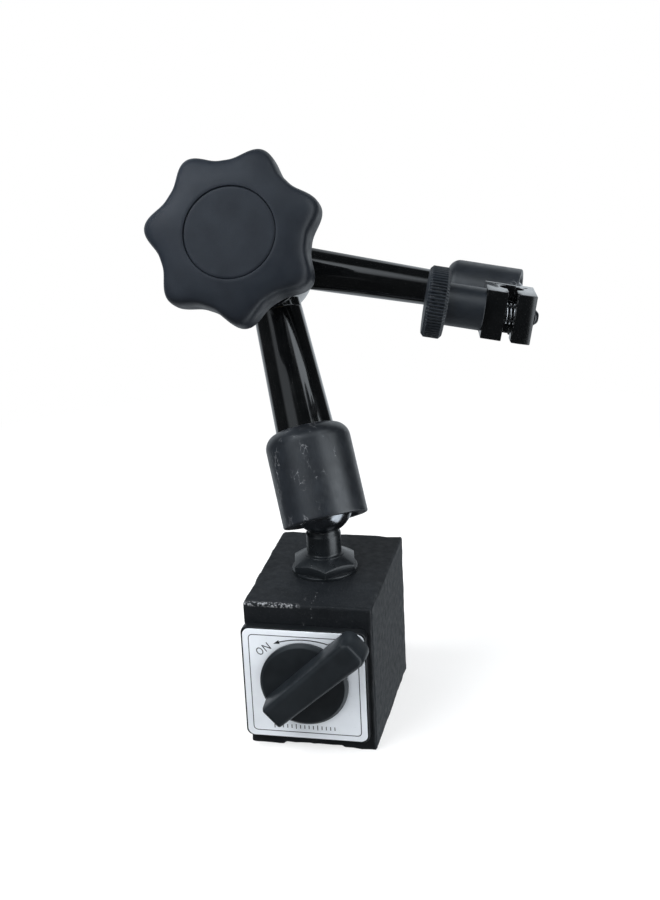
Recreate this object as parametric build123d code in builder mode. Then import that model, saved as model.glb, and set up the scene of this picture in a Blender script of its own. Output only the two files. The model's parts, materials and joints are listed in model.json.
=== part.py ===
"""Magnetic base stand: switchable magnet block, two-link locking arm and indicator clamp.

Origin: centre of the block's ground underside. +Z up, +Y towards the back, switch on the -Y face.
The arm is modelled in the pose in which it stands when locked.
"""

import os
from math import sqrt

from build123d import *

os.makedirs("parts", exist_ok=True)

# --- Magnet block ---
BLOCK_X, BLOCK_Y, BLOCK_Z = 45, 60, 55
BLOCK_EDGE = 0.8  # rounding of the cast edges
RELIEF_WIDTH, RELIEF_DEPTH = 22, 0.8  # shallow channel between the two ground feet
DIVIDER = 3  # non-magnetic strips between the two poles
MAGNET_Z = 27.4  # height of the rotor axis
FRONT_X = -1.1  # the rotor and everything on the front sit slightly left of the block's centre
MAGNET_BORE = 14.6
MAGNET_RADIUS = 14.5
SHAFT_RADIUS = 5
ROTOR_BACK, ROTOR_FRONT = -26, 25.5  # along the rotor axis
BUSH_BACK = 26
STOP_AT, STOP_PIN = 10, 1.8  # the pin that stops the rotor at each end of its quarter turn
PLATE_SCREW_X, PLATE_SCREW_Z = 17, (9, 42)  # cover and rear plate screws, from the rotor axis and the floor
SCREW_SHANK, SCREW_DEPTH = 1.25, 8

# --- Front: cover, label and lever ---
COVER_X, COVER_LOW, COVER_HIGH = 44, 5, 47.5
COVER_THICK, COVER_CORNER = 3.5, 2.5
REAR_THICK = 2
LABEL_THICK = 0.3
LEVER_DISC = 15.5
LEVER_ANGLE = 42.3  # above +X, in the off position
LEVER_TAIL, LEVER_TIP, LEVER_WIDTH = 14.5, 28.3, 11.6
LEVER_PROUD = 9  # grip in front of the disc
LEVER_TAIL_ROUND, LEVER_TIP_ROUND = 2.5, 4

# --- Lower ball stud ---
STUD_THREAD, STUD_DEPTH = 5, 9.5  # radius, and engagement in the block
WASHER_RADIUS, WASHER_THICK = 11.6, 1.2
HEX_FLATS, HEX_HEIGHT = 21, 5.4
HEX_TOP_RADIUS = 7  # where the hexagon's long 30 degree chamfer starts
NECK_RADIUS, NECK_TOP = 6.15, 70
THROAT_RADIUS = 5.4
SPIGOT_RADIUS = 4  # the stud's end inside the ball
LOWER_BALL_Z, LOWER_BALL = 80.3, 11

# --- Arm pose, in degrees ---
ARM_SPIN, ARM_LEAN, ARM_TWIST = 123.6, 30.3, 153.1
ELBOW_ANGLE = 113.6  # between the directions of the two links
HEAD_ROLL, HEAD_SWING, HEAD_SPIN = 17.3, 80, 178.5

# --- Links ---
LOWER_LENGTH = 85.2  # ball centre to elbow axis
UPPER_LENGTH = 85.5
LOWER_TUBE_ENDS = 10.25, 8.7  # outer radius at the cup and at the elbow
UPPER_TUBE_ENDS = 7.25, 5.95  # outer radius at the elbow and at the cup
LOWER_ROD, UPPER_ROD = 4.9, 3.4
LOWER_PLUG, UPPER_PLUG = 7, 5.2  # radius of each eye's plug inside its tube
PLUG_LENGTH = 8
LOWER_CUP, LOWER_CUP_BORE, LOWER_CUP_MOUTH = 15.1, 11.4, 12.8
LOWER_CUP_RIM, LOWER_CUP_STEP, LOWER_CUP_SEAT, LOWER_CUP_END = -6.4, -1, 15, 27  # from the ball centre
UPPER_CUP, UPPER_CUP_BORE, UPPER_CUP_MOUTH = 10.8, 8.4, 9.6
UPPER_CUP_RIM, UPPER_CUP_STEP, UPPER_CUP_SEAT, UPPER_CUP_END = 5.2, 1, -11, -19.6
RUNNING = 0.05  # radial running clearance

# --- Elbow, measured along its axis from the lower link's centre line ---
EYE_OFFSET = 17.8  # centre line of the upper link
LOWER_EYE, UPPER_EYE = 15, 13.5
CONE_SLOPE = 0.15
LOWER_CONE, UPPER_CONE = 5.6, 8.0  # cone radius under each push rod
FLANGE_BACK, FLANGE_FRONT = 26.6, 28.6
STAR_BACK, STAR_FRONT = 50, 66.7
LOBES, LOBE_RADIUS, VALLEY_RADIUS = 7, 29.7, 24.9
VALLEY_CIRCLE = 16
LOBE_PHASE = 18.8
CAP_RADIUS = 15.1
BOLT_RADIUS, BOLT_HEAD, BOLT_END = 3, 7.5, 48
SLEEVE_BORE = 6.4  # in the lower eye, around the wedge sleeve
BOLT_LAND = 7  # the lower eye's bore narrows to the bolt beyond this
CONE_HALF = 5  # half the length of each cone
FLANGE_RADIUS = 12.5
INSERT_RADIUS, INSERT_COLLAR = 6, 7
INSERT_STEP, INSERT_END = 36, 51

# --- Upper ball and clamp ---
UPPER_BALL = 8
SHANK_RADIUS = 3.6
PLATE_BACK, PLATE_FRONT = 18, 21.4  # distances from the ball centre, along the stud
JAW_FRONT = 39
SCREW_AT, STEM_AT = 34.8, 27.2
SCREW_UP = 0.7  # the screw sits slightly above the jaws' mid-height
JAW_GAP = 3
MOVING_JAW, FIXED_JAW, JAW_HEIGHT = 6.8, 6.3, 15.8
STEM_RADIUS = 4
SCREW_RADIUS = 2.5
SPRING_POCKET, POCKET_DEPTH = 3.45, 2.5
STUD_TAIL = 3  # radius riveted into the fixed jaw's plate
LIP_DEPTH, LIP_UNDERCUT = 1.8, 1.1  # dovetail lips at the jaws' front
BARREL_RADIUS, BARREL_END = 6.85, 20.5
RING_RADIUS, RING_END = 11.5, 27.1
RING_TEETH = 64


def section(frame):
    """The half-plane through a frame's Z axis: x is the radius and y runs along the axis."""
    return Plane(origin=frame.origin, x_dir=frame.x_dir, z_dir=-frame.y_dir)


def axis_of(frame):
    return Axis(frame.origin, frame.z_dir)


def outline(plane, *points):
    """A closed polygon on a plane."""
    with BuildSketch(plane) as shape:
        with BuildLine():
            Polyline(*points, close=True)
        make_face()
    return shape.sketch


def turn(frame, *points, mode=Mode.ADD):
    """Turns a profile of (radius, height) points about the frame's Z axis."""
    revolve(outline(section(frame), *points), axis=axis_of(frame), mode=mode)


def drill(frame, radius, low, high):
    turn(frame, (0, low), (radius, low), (radius, high), (0, high), mode=Mode.SUBTRACT)


def hollow_ball(frame, radius):
    with Locations(frame):
        Sphere(radius, mode=Mode.SUBTRACT)


def finish(builder, name):
    builder.part.label = name
    export_step(builder.part, f"parts/{name}.step")


# --- Frames that follow the arm from the base to the clamp ---
base = Plane.XY
lower_link = Plane(Pos(0, 0, LOWER_BALL_Z) * Rot(0, 0, ARM_SPIN) * Rot(0, ARM_LEAN, 0) * Rot(0, 0, ARM_TWIST))
elbow_place = lower_link.location * Pos(0, 0, LOWER_LENGTH)
elbow = Plane(elbow_place * Rot(0, 90, 0))
upper_root = Plane(elbow_place * Pos(EYE_OFFSET, 0, 0) * Rot(-ELBOW_ANGLE, 0, 0))
upper_link = Plane(upper_root.location * Pos(0, 0, UPPER_LENGTH))
slot_frame = Plane(upper_link.location * Rot(0, 0, HEAD_ROLL))
head = Plane(slot_frame.location * Rot(0, HEAD_SWING, 0) * Rot(0, 0, HEAD_SPIN))
screw_axis = Plane(head.location * Pos(0, SCREW_UP, SCREW_AT) * Rot(0, 90, 0))
magnet_axis = Plane(origin=(FRONT_X, 0, MAGNET_Z), x_dir=(1, 0, 0), z_dir=(0, -1, 0))
stop_axis = Plane(magnet_axis.location * Pos(STOP_AT, 0, 0))

front_face = BLOCK_Y / 2
cover_face = front_face + COVER_THICK
label_face = cover_face + LABEL_THICK
disc_back = label_face + 0.2
disc_face = disc_back + 2.2
screw_sides = (FRONT_X - PLATE_SCREW_X, FRONT_X + PLATE_SCREW_X)


# --- Magnet block ---
def pole(side):
    """One soft-iron pole: half the block, with half of the magnet bore."""
    inner = DIVIDER / 2
    outer = BLOCK_X / 2
    relief = RELIEF_WIDTH / 2
    with BuildPart() as half:
        with BuildSketch(Plane.XZ.offset(-BLOCK_Y / 2)):
            with BuildLine():
                Polyline(
                    (side * inner, RELIEF_DEPTH),
                    (side * (relief - 1), RELIEF_DEPTH),
                    (side * relief, 0),
                    (side * outer, 0),
                    (side * outer, BLOCK_Z),
                    (side * inner, BLOCK_Z),
                    close=True,
                )
            make_face()
        extrude(amount=BLOCK_Y)
        outside = half.faces().sort_by(Axis.X)[-1 if side > 0 else 0]
        fillet(outside.edges(), BLOCK_EDGE)
        drill(magnet_axis, MAGNET_BORE, -front_face, front_face)
        drill(base, STUD_THREAD, BLOCK_Z - STUD_DEPTH - 0.5, BLOCK_Z)
        for height in PLATE_SCREW_Z:
            hole = Plane(origin=(FRONT_X + side * PLATE_SCREW_X, 0, height), z_dir=(0, -1, 0))
            bottom = front_face - SCREW_DEPTH - 1
            drill(hole, SCREW_SHANK, bottom, front_face)
            drill(hole, SCREW_SHANK, -front_face, -bottom)
    return half


def divider(low, high):
    """A brass strip brazed between the poles."""
    with BuildPart() as strip:
        with BuildSketch(Plane.XZ.offset(-BLOCK_Y / 2)):
            with BuildLine():
                Polyline(
                    (-DIVIDER / 2, low),
                    (DIVIDER / 2, low),
                    (DIVIDER / 2, high),
                    (-DIVIDER / 2, high),
                    close=True,
                )
            make_face()
        extrude(amount=BLOCK_Y)
        drill(magnet_axis, MAGNET_BORE, -front_face, front_face)
        drill(base, STUD_THREAD, BLOCK_Z - STUD_DEPTH - 0.5, BLOCK_Z)
    return strip


left_pole = pole(-1)
finish(left_pole, "left_pole")
right_pole = pole(1)
finish(right_pole, "right_pole")
upper_divider = divider(MAGNET_Z, BLOCK_Z)
finish(upper_divider, "upper_divider")
lower_divider = divider(RELIEF_DEPTH, MAGNET_Z)
finish(lower_divider, "lower_divider")

with BuildPart() as magnet_rotor:
    turn(
        magnet_axis,
        (SHAFT_RADIUS, ROTOR_BACK),
        (MAGNET_RADIUS, ROTOR_BACK),
        (MAGNET_RADIUS, ROTOR_FRONT),
        (SHAFT_RADIUS, ROTOR_FRONT),
    )
    with BuildSketch(Plane(magnet_axis.location * Pos(0, 0, ROTOR_FRONT - 3))) as stop_groove:
        Circle(STOP_AT + 2)
        Circle(STOP_AT - 2, mode=Mode.SUBTRACT)
        with Locations((STOP_AT - 4, 4 - STOP_AT)):
            Rectangle(2 * STOP_AT - 4, 2 * STOP_AT - 4, mode=Mode.INTERSECT)
    extrude(stop_groove.sketch, amount=4, mode=Mode.SUBTRACT)
finish(magnet_rotor, "magnet_rotor")

with BuildPart() as drive_shaft:
    turn(
        magnet_axis,
        (0, ROTOR_BACK),
        (SHAFT_RADIUS, ROTOR_BACK),
        (SHAFT_RADIUS, disc_face),
        (0, disc_face),
    )
finish(drive_shaft, "drive_shaft")

with BuildPart() as front_bush:
    turn(
        magnet_axis,
        (SHAFT_RADIUS + RUNNING, BUSH_BACK),
        (MAGNET_BORE, BUSH_BACK),
        (MAGNET_BORE, front_face),
        (SHAFT_RADIUS + RUNNING, front_face),
    )
    drill(stop_axis, STOP_PIN, BUSH_BACK, front_face)
finish(front_bush, "front_bush")

with BuildPart() as stop_pin:
    pin_tip = ROTOR_FRONT - 2.5
    turn(stop_axis, (0, pin_tip), (STOP_PIN, pin_tip), (STOP_PIN, front_face), (0, front_face))
finish(stop_pin, "stop_pin")


# --- Front cover, label, screws and rear plate ---
def plate(back, thick, width, low, high, hole_radius):
    """An upright rectangular plate with rounded corners and a round hole on the magnet axis."""
    with BuildPart() as sheet:
        with BuildSketch(Plane.XZ.offset(back)):
            with Locations((FRONT_X, (low + high) / 2)):
                RectangleRounded(width, high - low, COVER_CORNER)
            with Locations((FRONT_X, MAGNET_Z)):
                Circle(hole_radius, mode=Mode.SUBTRACT)
        extrude(amount=thick)
    return sheet


front_cover = plate(front_face, COVER_THICK, COVER_X, COVER_LOW, COVER_HIGH, SHAFT_RADIUS + 0.3)
with front_cover:
    for x in screw_sides:
        for height in PLATE_SCREW_Z:
            hole = Plane(origin=(x, 0, height), z_dir=(0, -1, 0))
            turn(
                hole,
                (0, front_face),
                (1.7, front_face),
                (1.7, cover_face - 1.4),
                (3.1, cover_face),
                (0, cover_face),
                mode=Mode.SUBTRACT,
            )
finish(front_cover, "front_cover")

switch_label = plate(
    cover_face, LABEL_THICK, COVER_X - 1.4, COVER_LOW + 0.5, COVER_HIGH - 0.5, LEVER_DISC - 1
)
finish(switch_label, "switch_label")

rear_face = front_face + REAR_THICK
rear_plate = plate(-rear_face, REAR_THICK, COVER_X - 2, COVER_LOW, COVER_HIGH, 1)
with rear_plate:
    for x in screw_sides:
        for height in PLATE_SCREW_Z:
            hole = Plane(origin=(x, 0, height), z_dir=(0, 1, 0))
            turn(
                hole,
                (0, front_face),
                (1.5, front_face),
                (1.5, front_face + 0.5),
                (3, rear_face),
                (0, rear_face),
                mode=Mode.SUBTRACT,
            )
finish(rear_plate, "rear_plate")


def countersunk_screws(direction, head_face):
    """Four countersunk screws, two in each pole."""
    with BuildPart() as screws:
        for x in screw_sides:
            for height in PLATE_SCREW_Z:
                turn(
                    Plane(origin=(x, 0, height), z_dir=(0, direction, 0)),
                    (0, front_face - SCREW_DEPTH),
                    (SCREW_SHANK, front_face - SCREW_DEPTH),
                    (SCREW_SHANK, head_face - 1.6),
                    (2.8, head_face - 0.1),
                    (0, head_face - 0.1),
                )
    return screws


cover_screws = countersunk_screws(-1, cover_face)
finish(cover_screws, "cover_screws")
rear_screws = countersunk_screws(1, rear_face)
finish(rear_screws, "rear_screws")

with BuildPart() as switch_lever:
    turn(
        magnet_axis,
        (SHAFT_RADIUS, disc_back),
        (LEVER_DISC, disc_back),
        (LEVER_DISC, disc_face - 0.6),
        (LEVER_DISC - 0.6, disc_face),
        (SHAFT_RADIUS, disc_face),
    )
    with BuildSketch(Plane(magnet_axis.location * Pos(0, 0, disc_face) * Rot(0, 0, LEVER_ANGLE))) as grip:
        with BuildLine():
            half_width = LEVER_WIDTH / 2
            Polyline(
                (LEVER_TIP, half_width),
                (-LEVER_TAIL, half_width - 0.8),
                (-LEVER_TAIL, 0.8 - half_width),
                (LEVER_TIP, -half_width),
                close=True,
            )
        make_face()
        corners = grip.vertices().sort_by(Axis.X)
        fillet(corners[:2], LEVER_TAIL_ROUND)
        fillet(corners[2:], LEVER_TIP_ROUND)
    extrude(amount=LEVER_PROUD)
    top = switch_lever.faces().sort_by(Axis.Y)[0]
    fillet(top.edges(), 1.2)
finish(switch_lever, "switch_lever")


# --- Lower ball stud ---
washer_top = BLOCK_Z + WASHER_THICK
hex_top = washer_top + HEX_HEIGHT
ball_seat = LOWER_BALL_Z - sqrt(LOWER_BALL**2 - (THROAT_RADIUS + 0.1) ** 2)

with BuildPart() as stud_washer:
    turn(
        base,
        (STUD_THREAD + 0.2, BLOCK_Z),
        (WASHER_RADIUS, BLOCK_Z),
        (WASHER_RADIUS, washer_top - 0.3),
        (WASHER_RADIUS - 0.3, washer_top),
        (STUD_THREAD + 0.2, washer_top),
    )
finish(stud_washer, "stud_washer")

with BuildPart() as ball_stud:
    with BuildSketch(Plane.XY.offset(washer_top) * Rot(0, 0, 13)):
        RegularPolygon(HEX_FLATS / 2, 6, major_radius=False, rotation=-90)
    extrude(amount=HEX_HEIGHT)
    corner = HEX_FLATS / sqrt(3)
    turn(
        base,
        (HEX_TOP_RADIUS, hex_top),
        (corner + 1, hex_top - (corner + 1 - HEX_TOP_RADIUS) / sqrt(3)),
        (corner + 1, hex_top),
        mode=Mode.SUBTRACT,
    )
    turn(
        base,
        (0, BLOCK_Z - STUD_DEPTH),
        (STUD_THREAD, BLOCK_Z - STUD_DEPTH),
        (STUD_THREAD, washer_top),
        (0, washer_top),
    )
    turn(
        base,
        (0, hex_top),
        (NECK_RADIUS, hex_top),
        (NECK_RADIUS, NECK_TOP - 0.4),
        (NECK_RADIUS - 0.4, NECK_TOP),
        (THROAT_RADIUS, NECK_TOP),
        (THROAT_RADIUS, ball_seat - RUNNING),
        (SPIGOT_RADIUS, ball_seat - RUNNING),
        (SPIGOT_RADIUS, LOWER_BALL_Z + 3),
        (0, LOWER_BALL_Z + 3),
    )
finish(ball_stud, "ball_stud")

with BuildPart() as lower_ball:
    with Locations((0, 0, LOWER_BALL_Z)):
        Sphere(LOWER_BALL)
    turn(
        base,
        (0, LOWER_BALL_Z - LOWER_BALL),
        (LOWER_BALL, LOWER_BALL_Z - LOWER_BALL),
        (LOWER_BALL, ball_seat),
        (0, ball_seat),
        mode=Mode.SUBTRACT,
    )
    drill(base, SPIGOT_RADIUS + RUNNING, ball_seat, LOWER_BALL_Z + 3.5)
finish(lower_ball, "lower_ball")


# --- Lower link: cup, ring, pad, rod, tube and eye ---
LOWER_PAD_END = 13.2
with BuildPart() as lower_cup:
    with BuildSketch(section(lower_link)):
        with BuildLine():
            Polyline(
                (LOWER_CUP_MOUTH, LOWER_CUP_RIM),
                (LOWER_CUP, LOWER_CUP_RIM),
                (LOWER_CUP, LOWER_CUP_END - 6.4),
            )
            ThreePointArc(
                (LOWER_CUP, LOWER_CUP_END - 6.4),
                (LOWER_CUP - 1, LOWER_CUP_END - 2.7),
                (LOWER_CUP - 3.4, LOWER_CUP_END - 0.4),
            )
            Polyline(
                (LOWER_CUP - 3.4, LOWER_CUP_END - 0.4),
                (LOWER_TUBE_ENDS[0], LOWER_CUP_END),
                (LOWER_TUBE_ENDS[0], LOWER_CUP_SEAT),
                (LOWER_CUP_BORE, LOWER_CUP_SEAT),
                (LOWER_CUP_BORE, LOWER_CUP_STEP),
                (LOWER_CUP_MOUTH, LOWER_CUP_STEP),
                (LOWER_CUP_MOUTH, LOWER_CUP_RIM),
            )
        make_face()
    revolve(axis=axis_of(lower_link))
finish(lower_cup, "lower_cup")

with BuildPart() as lower_cup_ring:
    turn(
        lower_link,
        (LOWER_CUP_MOUTH - 0.8, LOWER_CUP_RIM),
        (LOWER_CUP_MOUTH, LOWER_CUP_RIM),
        (LOWER_CUP_MOUTH, LOWER_CUP_STEP),
        (LOWER_BALL - 0.8, LOWER_CUP_STEP),
        (LOWER_BALL - 1.1, LOWER_CUP_RIM + 1.6),
    )
    hollow_ball(lower_link, LOWER_BALL + RUNNING)
finish(lower_cup_ring, "lower_cup_ring")

with BuildPart() as lower_pad:
    turn(
        lower_link,
        (0, 5.4),
        (LOWER_CUP_BORE - 0.1, 5.4),
        (LOWER_CUP_BORE - 0.1, LOWER_PAD_END),
        (0, LOWER_PAD_END),
    )
    hollow_ball(lower_link, LOWER_BALL + RUNNING)
finish(lower_pad, "lower_pad")

lower_seam = LOWER_LENGTH - LOWER_EYE - 0.5
with BuildPart() as lower_tube:
    turn(
        lower_link,
        (LOWER_ROD + RUNNING, LOWER_CUP_SEAT),
        (LOWER_TUBE_ENDS[0], LOWER_CUP_SEAT),
        (LOWER_TUBE_ENDS[0], LOWER_CUP_END),
        (LOWER_TUBE_ENDS[1], lower_seam),
        (LOWER_PLUG, lower_seam),
        (LOWER_PLUG, lower_seam - PLUG_LENGTH),
        (LOWER_ROD + RUNNING, lower_seam - PLUG_LENGTH),
    )
finish(lower_tube, "lower_tube")

with BuildPart() as lower_rod:
    turn(
        lower_link,
        (0, LOWER_PAD_END + RUNNING),
        (LOWER_ROD, LOWER_PAD_END + RUNNING),
        (LOWER_ROD, LOWER_LENGTH - 10),
        (2, LOWER_LENGTH - 8),
        (2, LOWER_LENGTH - LOWER_CONE - 0.4),
        (0, LOWER_LENGTH - LOWER_CONE - 0.4),
    )
finish(lower_rod, "lower_rod")

with BuildPart() as lower_eye:
    turn(
        elbow,
        (0, -LOWER_TUBE_ENDS[1]),
        (LOWER_EYE - 1, -LOWER_TUBE_ENDS[1]),
        (LOWER_EYE, 1 - LOWER_TUBE_ENDS[1]),
        (LOWER_EYE, LOWER_TUBE_ENDS[1] - 0.5),
        (LOWER_EYE - 0.5, LOWER_TUBE_ENDS[1]),
        (0, LOWER_TUBE_ENDS[1]),
    )
    turn(
        lower_link,
        (0, lower_seam - PLUG_LENGTH),
        (LOWER_PLUG, lower_seam - PLUG_LENGTH),
        (LOWER_PLUG, lower_seam),
        (LOWER_TUBE_ENDS[1] - 0.05, lower_seam),
        (LOWER_TUBE_ENDS[1] - 0.05, LOWER_LENGTH - 8),
        (0, LOWER_LENGTH - 8),
    )
    drill(elbow, SLEEVE_BORE, -BOLT_LAND, LOWER_TUBE_ENDS[1])
    drill(elbow, BOLT_RADIUS, -LOWER_TUBE_ENDS[1], -BOLT_LAND)
    drill(lower_link, LOWER_ROD + RUNNING, lower_seam - PLUG_LENGTH, LOWER_LENGTH)
finish(lower_eye, "lower_eye")


# --- Elbow: bolt, wedge sleeve, washers and knob ---
with BuildPart() as elbow_bolt:
    turn(
        elbow,
        (0, -LOWER_TUBE_ENDS[1] - 4),
        (BOLT_HEAD - 1, -LOWER_TUBE_ENDS[1] - 4),
        (BOLT_HEAD, -LOWER_TUBE_ENDS[1] - 3),
        (BOLT_HEAD, -LOWER_TUBE_ENDS[1]),
        (BOLT_RADIUS, -LOWER_TUBE_ENDS[1]),
        (BOLT_RADIUS, BOLT_END - 1),
        (BOLT_RADIUS - 1, BOLT_END),
        (0, BOLT_END),
    )
finish(elbow_bolt, "elbow_bolt")

cone_rise = CONE_HALF * CONE_SLOPE
with BuildPart() as wedge_sleeve:
    turn(
        elbow,
        (BOLT_RADIUS + RUNNING, -CONE_HALF),
        (LOWER_CONE - cone_rise, -CONE_HALF),
        (LOWER_CONE + cone_rise, CONE_HALF),
        (LOWER_CONE + cone_rise, EYE_OFFSET - CONE_HALF - 0.8),
        (UPPER_CONE - cone_rise, EYE_OFFSET - CONE_HALF),
        (UPPER_CONE + cone_rise, EYE_OFFSET + CONE_HALF),
        (UPPER_CONE + cone_rise, FLANGE_BACK),
        (FLANGE_RADIUS, FLANGE_BACK),
        (FLANGE_RADIUS, FLANGE_FRONT),
        (BOLT_RADIUS + RUNNING, FLANGE_FRONT),
    )
finish(wedge_sleeve, "wedge_sleeve")

with BuildPart() as friction_washer:
    turn(
        elbow,
        (SLEEVE_BORE + 0.1, LOWER_TUBE_ENDS[1]),
        (UPPER_EYE - 0.5, LOWER_TUBE_ENDS[1]),
        (UPPER_EYE - 0.5, EYE_OFFSET - UPPER_TUBE_ENDS[0] - RUNNING),
        (SLEEVE_BORE + 0.1, EYE_OFFSET - UPPER_TUBE_ENDS[0] - RUNNING),
    )
finish(friction_washer, "friction_washer")

with BuildPart() as disc_spring:
    turn(
        elbow,
        (9.0, FLANGE_BACK - 0.7),
        (12.3, EYE_OFFSET + UPPER_TUBE_ENDS[0] + RUNNING),
        (12.3, EYE_OFFSET + UPPER_TUBE_ENDS[0] + RUNNING + 0.5),
        (9.0, FLANGE_BACK - 0.02),
    )
finish(disc_spring, "disc_spring")

with BuildPart() as knob_insert:
    turn(
        elbow,
        (BOLT_RADIUS + RUNNING, FLANGE_FRONT + RUNNING),
        (INSERT_COLLAR, FLANGE_FRONT + RUNNING),
        (INSERT_COLLAR, INSERT_STEP),
        (INSERT_RADIUS, INSERT_STEP),
        (INSERT_RADIUS, INSERT_END),
        (0, INSERT_END),
        (0, INSERT_END - 1.5),
        (BOLT_RADIUS + RUNNING, INSERT_END - 1.5),
    )
finish(knob_insert, "knob_insert")

with BuildPart() as star_knob:
    turn(
        elbow,
        (INSERT_COLLAR, FLANGE_FRONT + 0.4),
        (12, FLANGE_FRONT + 0.4),
        (12.5, FLANGE_FRONT + 4.4),
        (14.5, STAR_BACK - 6),
        (18, STAR_BACK),
        (18, STAR_BACK + 2),
        (0, STAR_BACK + 2),
        (0, INSERT_STEP),
        (INSERT_COLLAR, INSERT_STEP),
    )
    with BuildSketch(Plane(elbow.location * Pos(0, 0, STAR_BACK) * Rot(0, 0, LOBE_PHASE))) as star:
        Circle(LOBE_RADIUS)
        with PolarLocations(VALLEY_RADIUS + VALLEY_CIRCLE, LOBES):
            Circle(VALLEY_CIRCLE, mode=Mode.SUBTRACT)
        fillet(star.vertices(), 3.6)
    extrude(amount=STAR_FRONT - STAR_BACK)
    turn(
        elbow,
        (CAP_RADIUS, STAR_FRONT),
        (20, STAR_FRONT - 0.5),
        (25, STAR_FRONT - 1.7),
        (28, STAR_FRONT - 3.1),
        (29.3, STAR_FRONT - 4.7),
        (31, STAR_FRONT - 6.7),
        (31, STAR_FRONT + 1),
        (CAP_RADIUS, STAR_FRONT + 1),
        mode=Mode.SUBTRACT,
    )
    turn(
        elbow,
        (26, STAR_BACK),
        (29, STAR_BACK + 1),
        (31, STAR_BACK + 3.5),
        (31, STAR_BACK - 1),
        (26, STAR_BACK - 1),
        mode=Mode.SUBTRACT,
    )
    drill(elbow, CAP_RADIUS + RUNNING, STAR_FRONT - 2, STAR_FRONT)
    drill(elbow, INSERT_RADIUS, INSERT_STEP, INSERT_END)
finish(star_knob, "star_knob")

with BuildPart() as knob_cap:
    turn(
        elbow,
        (0, STAR_FRONT - 2),
        (CAP_RADIUS, STAR_FRONT - 2),
        (CAP_RADIUS, STAR_FRONT - 0.5),
        (CAP_RADIUS - 0.3, STAR_FRONT - 0.2),
        (0, STAR_FRONT - 0.2),
    )
finish(knob_cap, "knob_cap")


# --- Upper link: eye, tube, rod, pad, cup and ring ---
upper_seam = UPPER_EYE + 0.5
UPPER_PAD_END = -10
with BuildPart() as upper_eye:
    half_eye = UPPER_TUBE_ENDS[0]
    turn(
        elbow,
        (0, EYE_OFFSET - half_eye),
        (UPPER_EYE - 0.5, EYE_OFFSET - half_eye),
        (UPPER_EYE, EYE_OFFSET - half_eye + 0.5),
        (UPPER_EYE, EYE_OFFSET + half_eye - 0.5),
        (UPPER_EYE - 0.5, EYE_OFFSET + half_eye),
        (0, EYE_OFFSET + half_eye),
    )
    turn(
        upper_root,
        (0, 7),
        (half_eye - 0.05, 7),
        (half_eye - 0.05, upper_seam),
        (UPPER_PLUG, upper_seam),
        (UPPER_PLUG, upper_seam + PLUG_LENGTH),
        (0, upper_seam + PLUG_LENGTH),
    )
    drill(elbow, UPPER_CONE + cone_rise + RUNNING, EYE_OFFSET - half_eye, EYE_OFFSET + half_eye)
    drill(upper_root, UPPER_ROD + RUNNING, 0, upper_seam + PLUG_LENGTH)
finish(upper_eye, "upper_eye")

with BuildPart() as upper_tube:
    turn(
        upper_root,
        (UPPER_PLUG, upper_seam),
        (UPPER_TUBE_ENDS[0], upper_seam),
        (UPPER_TUBE_ENDS[1], UPPER_LENGTH + UPPER_CUP_END),
        (UPPER_TUBE_ENDS[1], UPPER_LENGTH + UPPER_CUP_SEAT),
        (UPPER_ROD + RUNNING, UPPER_LENGTH + UPPER_CUP_SEAT),
        (UPPER_ROD + RUNNING, upper_seam + PLUG_LENGTH),
        (UPPER_PLUG, upper_seam + PLUG_LENGTH),
    )
finish(upper_tube, "upper_tube")

with BuildPart() as upper_rod:
    turn(
        upper_root,
        (0, UPPER_CONE + 0.4),
        (1.6, UPPER_CONE + 0.4),
        (1.6, UPPER_CONE + 2.5),
        (UPPER_ROD, UPPER_CONE + 4),
        (UPPER_ROD, UPPER_LENGTH + UPPER_PAD_END - RUNNING),
        (0, UPPER_LENGTH + UPPER_PAD_END - RUNNING),
    )
finish(upper_rod, "upper_rod")

with BuildPart() as upper_pad:
    turn(
        upper_link,
        (0, UPPER_PAD_END),
        (UPPER_CUP_BORE - 0.1, UPPER_PAD_END),
        (UPPER_CUP_BORE - 0.1, -4.3),
        (0, -4.3),
    )
    hollow_ball(upper_link, UPPER_BALL + RUNNING)
finish(upper_pad, "upper_pad")


def stud_slot():
    """The side slot that lets the upper ball's stud swing square to the link."""
    reach = SHANK_RADIUS + 0.4
    with BuildSketch(Plane(slot_frame.location * Rot(0, 90, 0))) as slot:
        Circle(reach)
        with Locations((-4, 0)):
            Rectangle(8, 2 * reach)
    extrude(slot.sketch, amount=14, mode=Mode.SUBTRACT)


with BuildPart() as upper_cup:
    with BuildSketch(section(upper_link)):
        with BuildLine():
            Polyline(
                (UPPER_CUP_MOUTH, UPPER_CUP_RIM),
                (UPPER_CUP, UPPER_CUP_RIM),
                (UPPER_CUP, UPPER_CUP_END + 4.2),
            )
            ThreePointArc(
                (UPPER_CUP, UPPER_CUP_END + 4.2),
                (UPPER_CUP - 0.9, UPPER_CUP_END + 1.6),
                (UPPER_CUP - 3, UPPER_CUP_END + 0.2),
            )
            Polyline(
                (UPPER_CUP - 3, UPPER_CUP_END + 0.2),
                (UPPER_TUBE_ENDS[1], UPPER_CUP_END),
                (UPPER_TUBE_ENDS[1], UPPER_CUP_SEAT),
                (UPPER_CUP_BORE, UPPER_CUP_SEAT),
                (UPPER_CUP_BORE, UPPER_CUP_STEP),
                (UPPER_CUP_MOUTH, UPPER_CUP_STEP),
                (UPPER_CUP_MOUTH, UPPER_CUP_RIM),
            )
        make_face()
    revolve(axis=axis_of(upper_link))
    stud_slot()
finish(upper_cup, "upper_cup")

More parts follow.
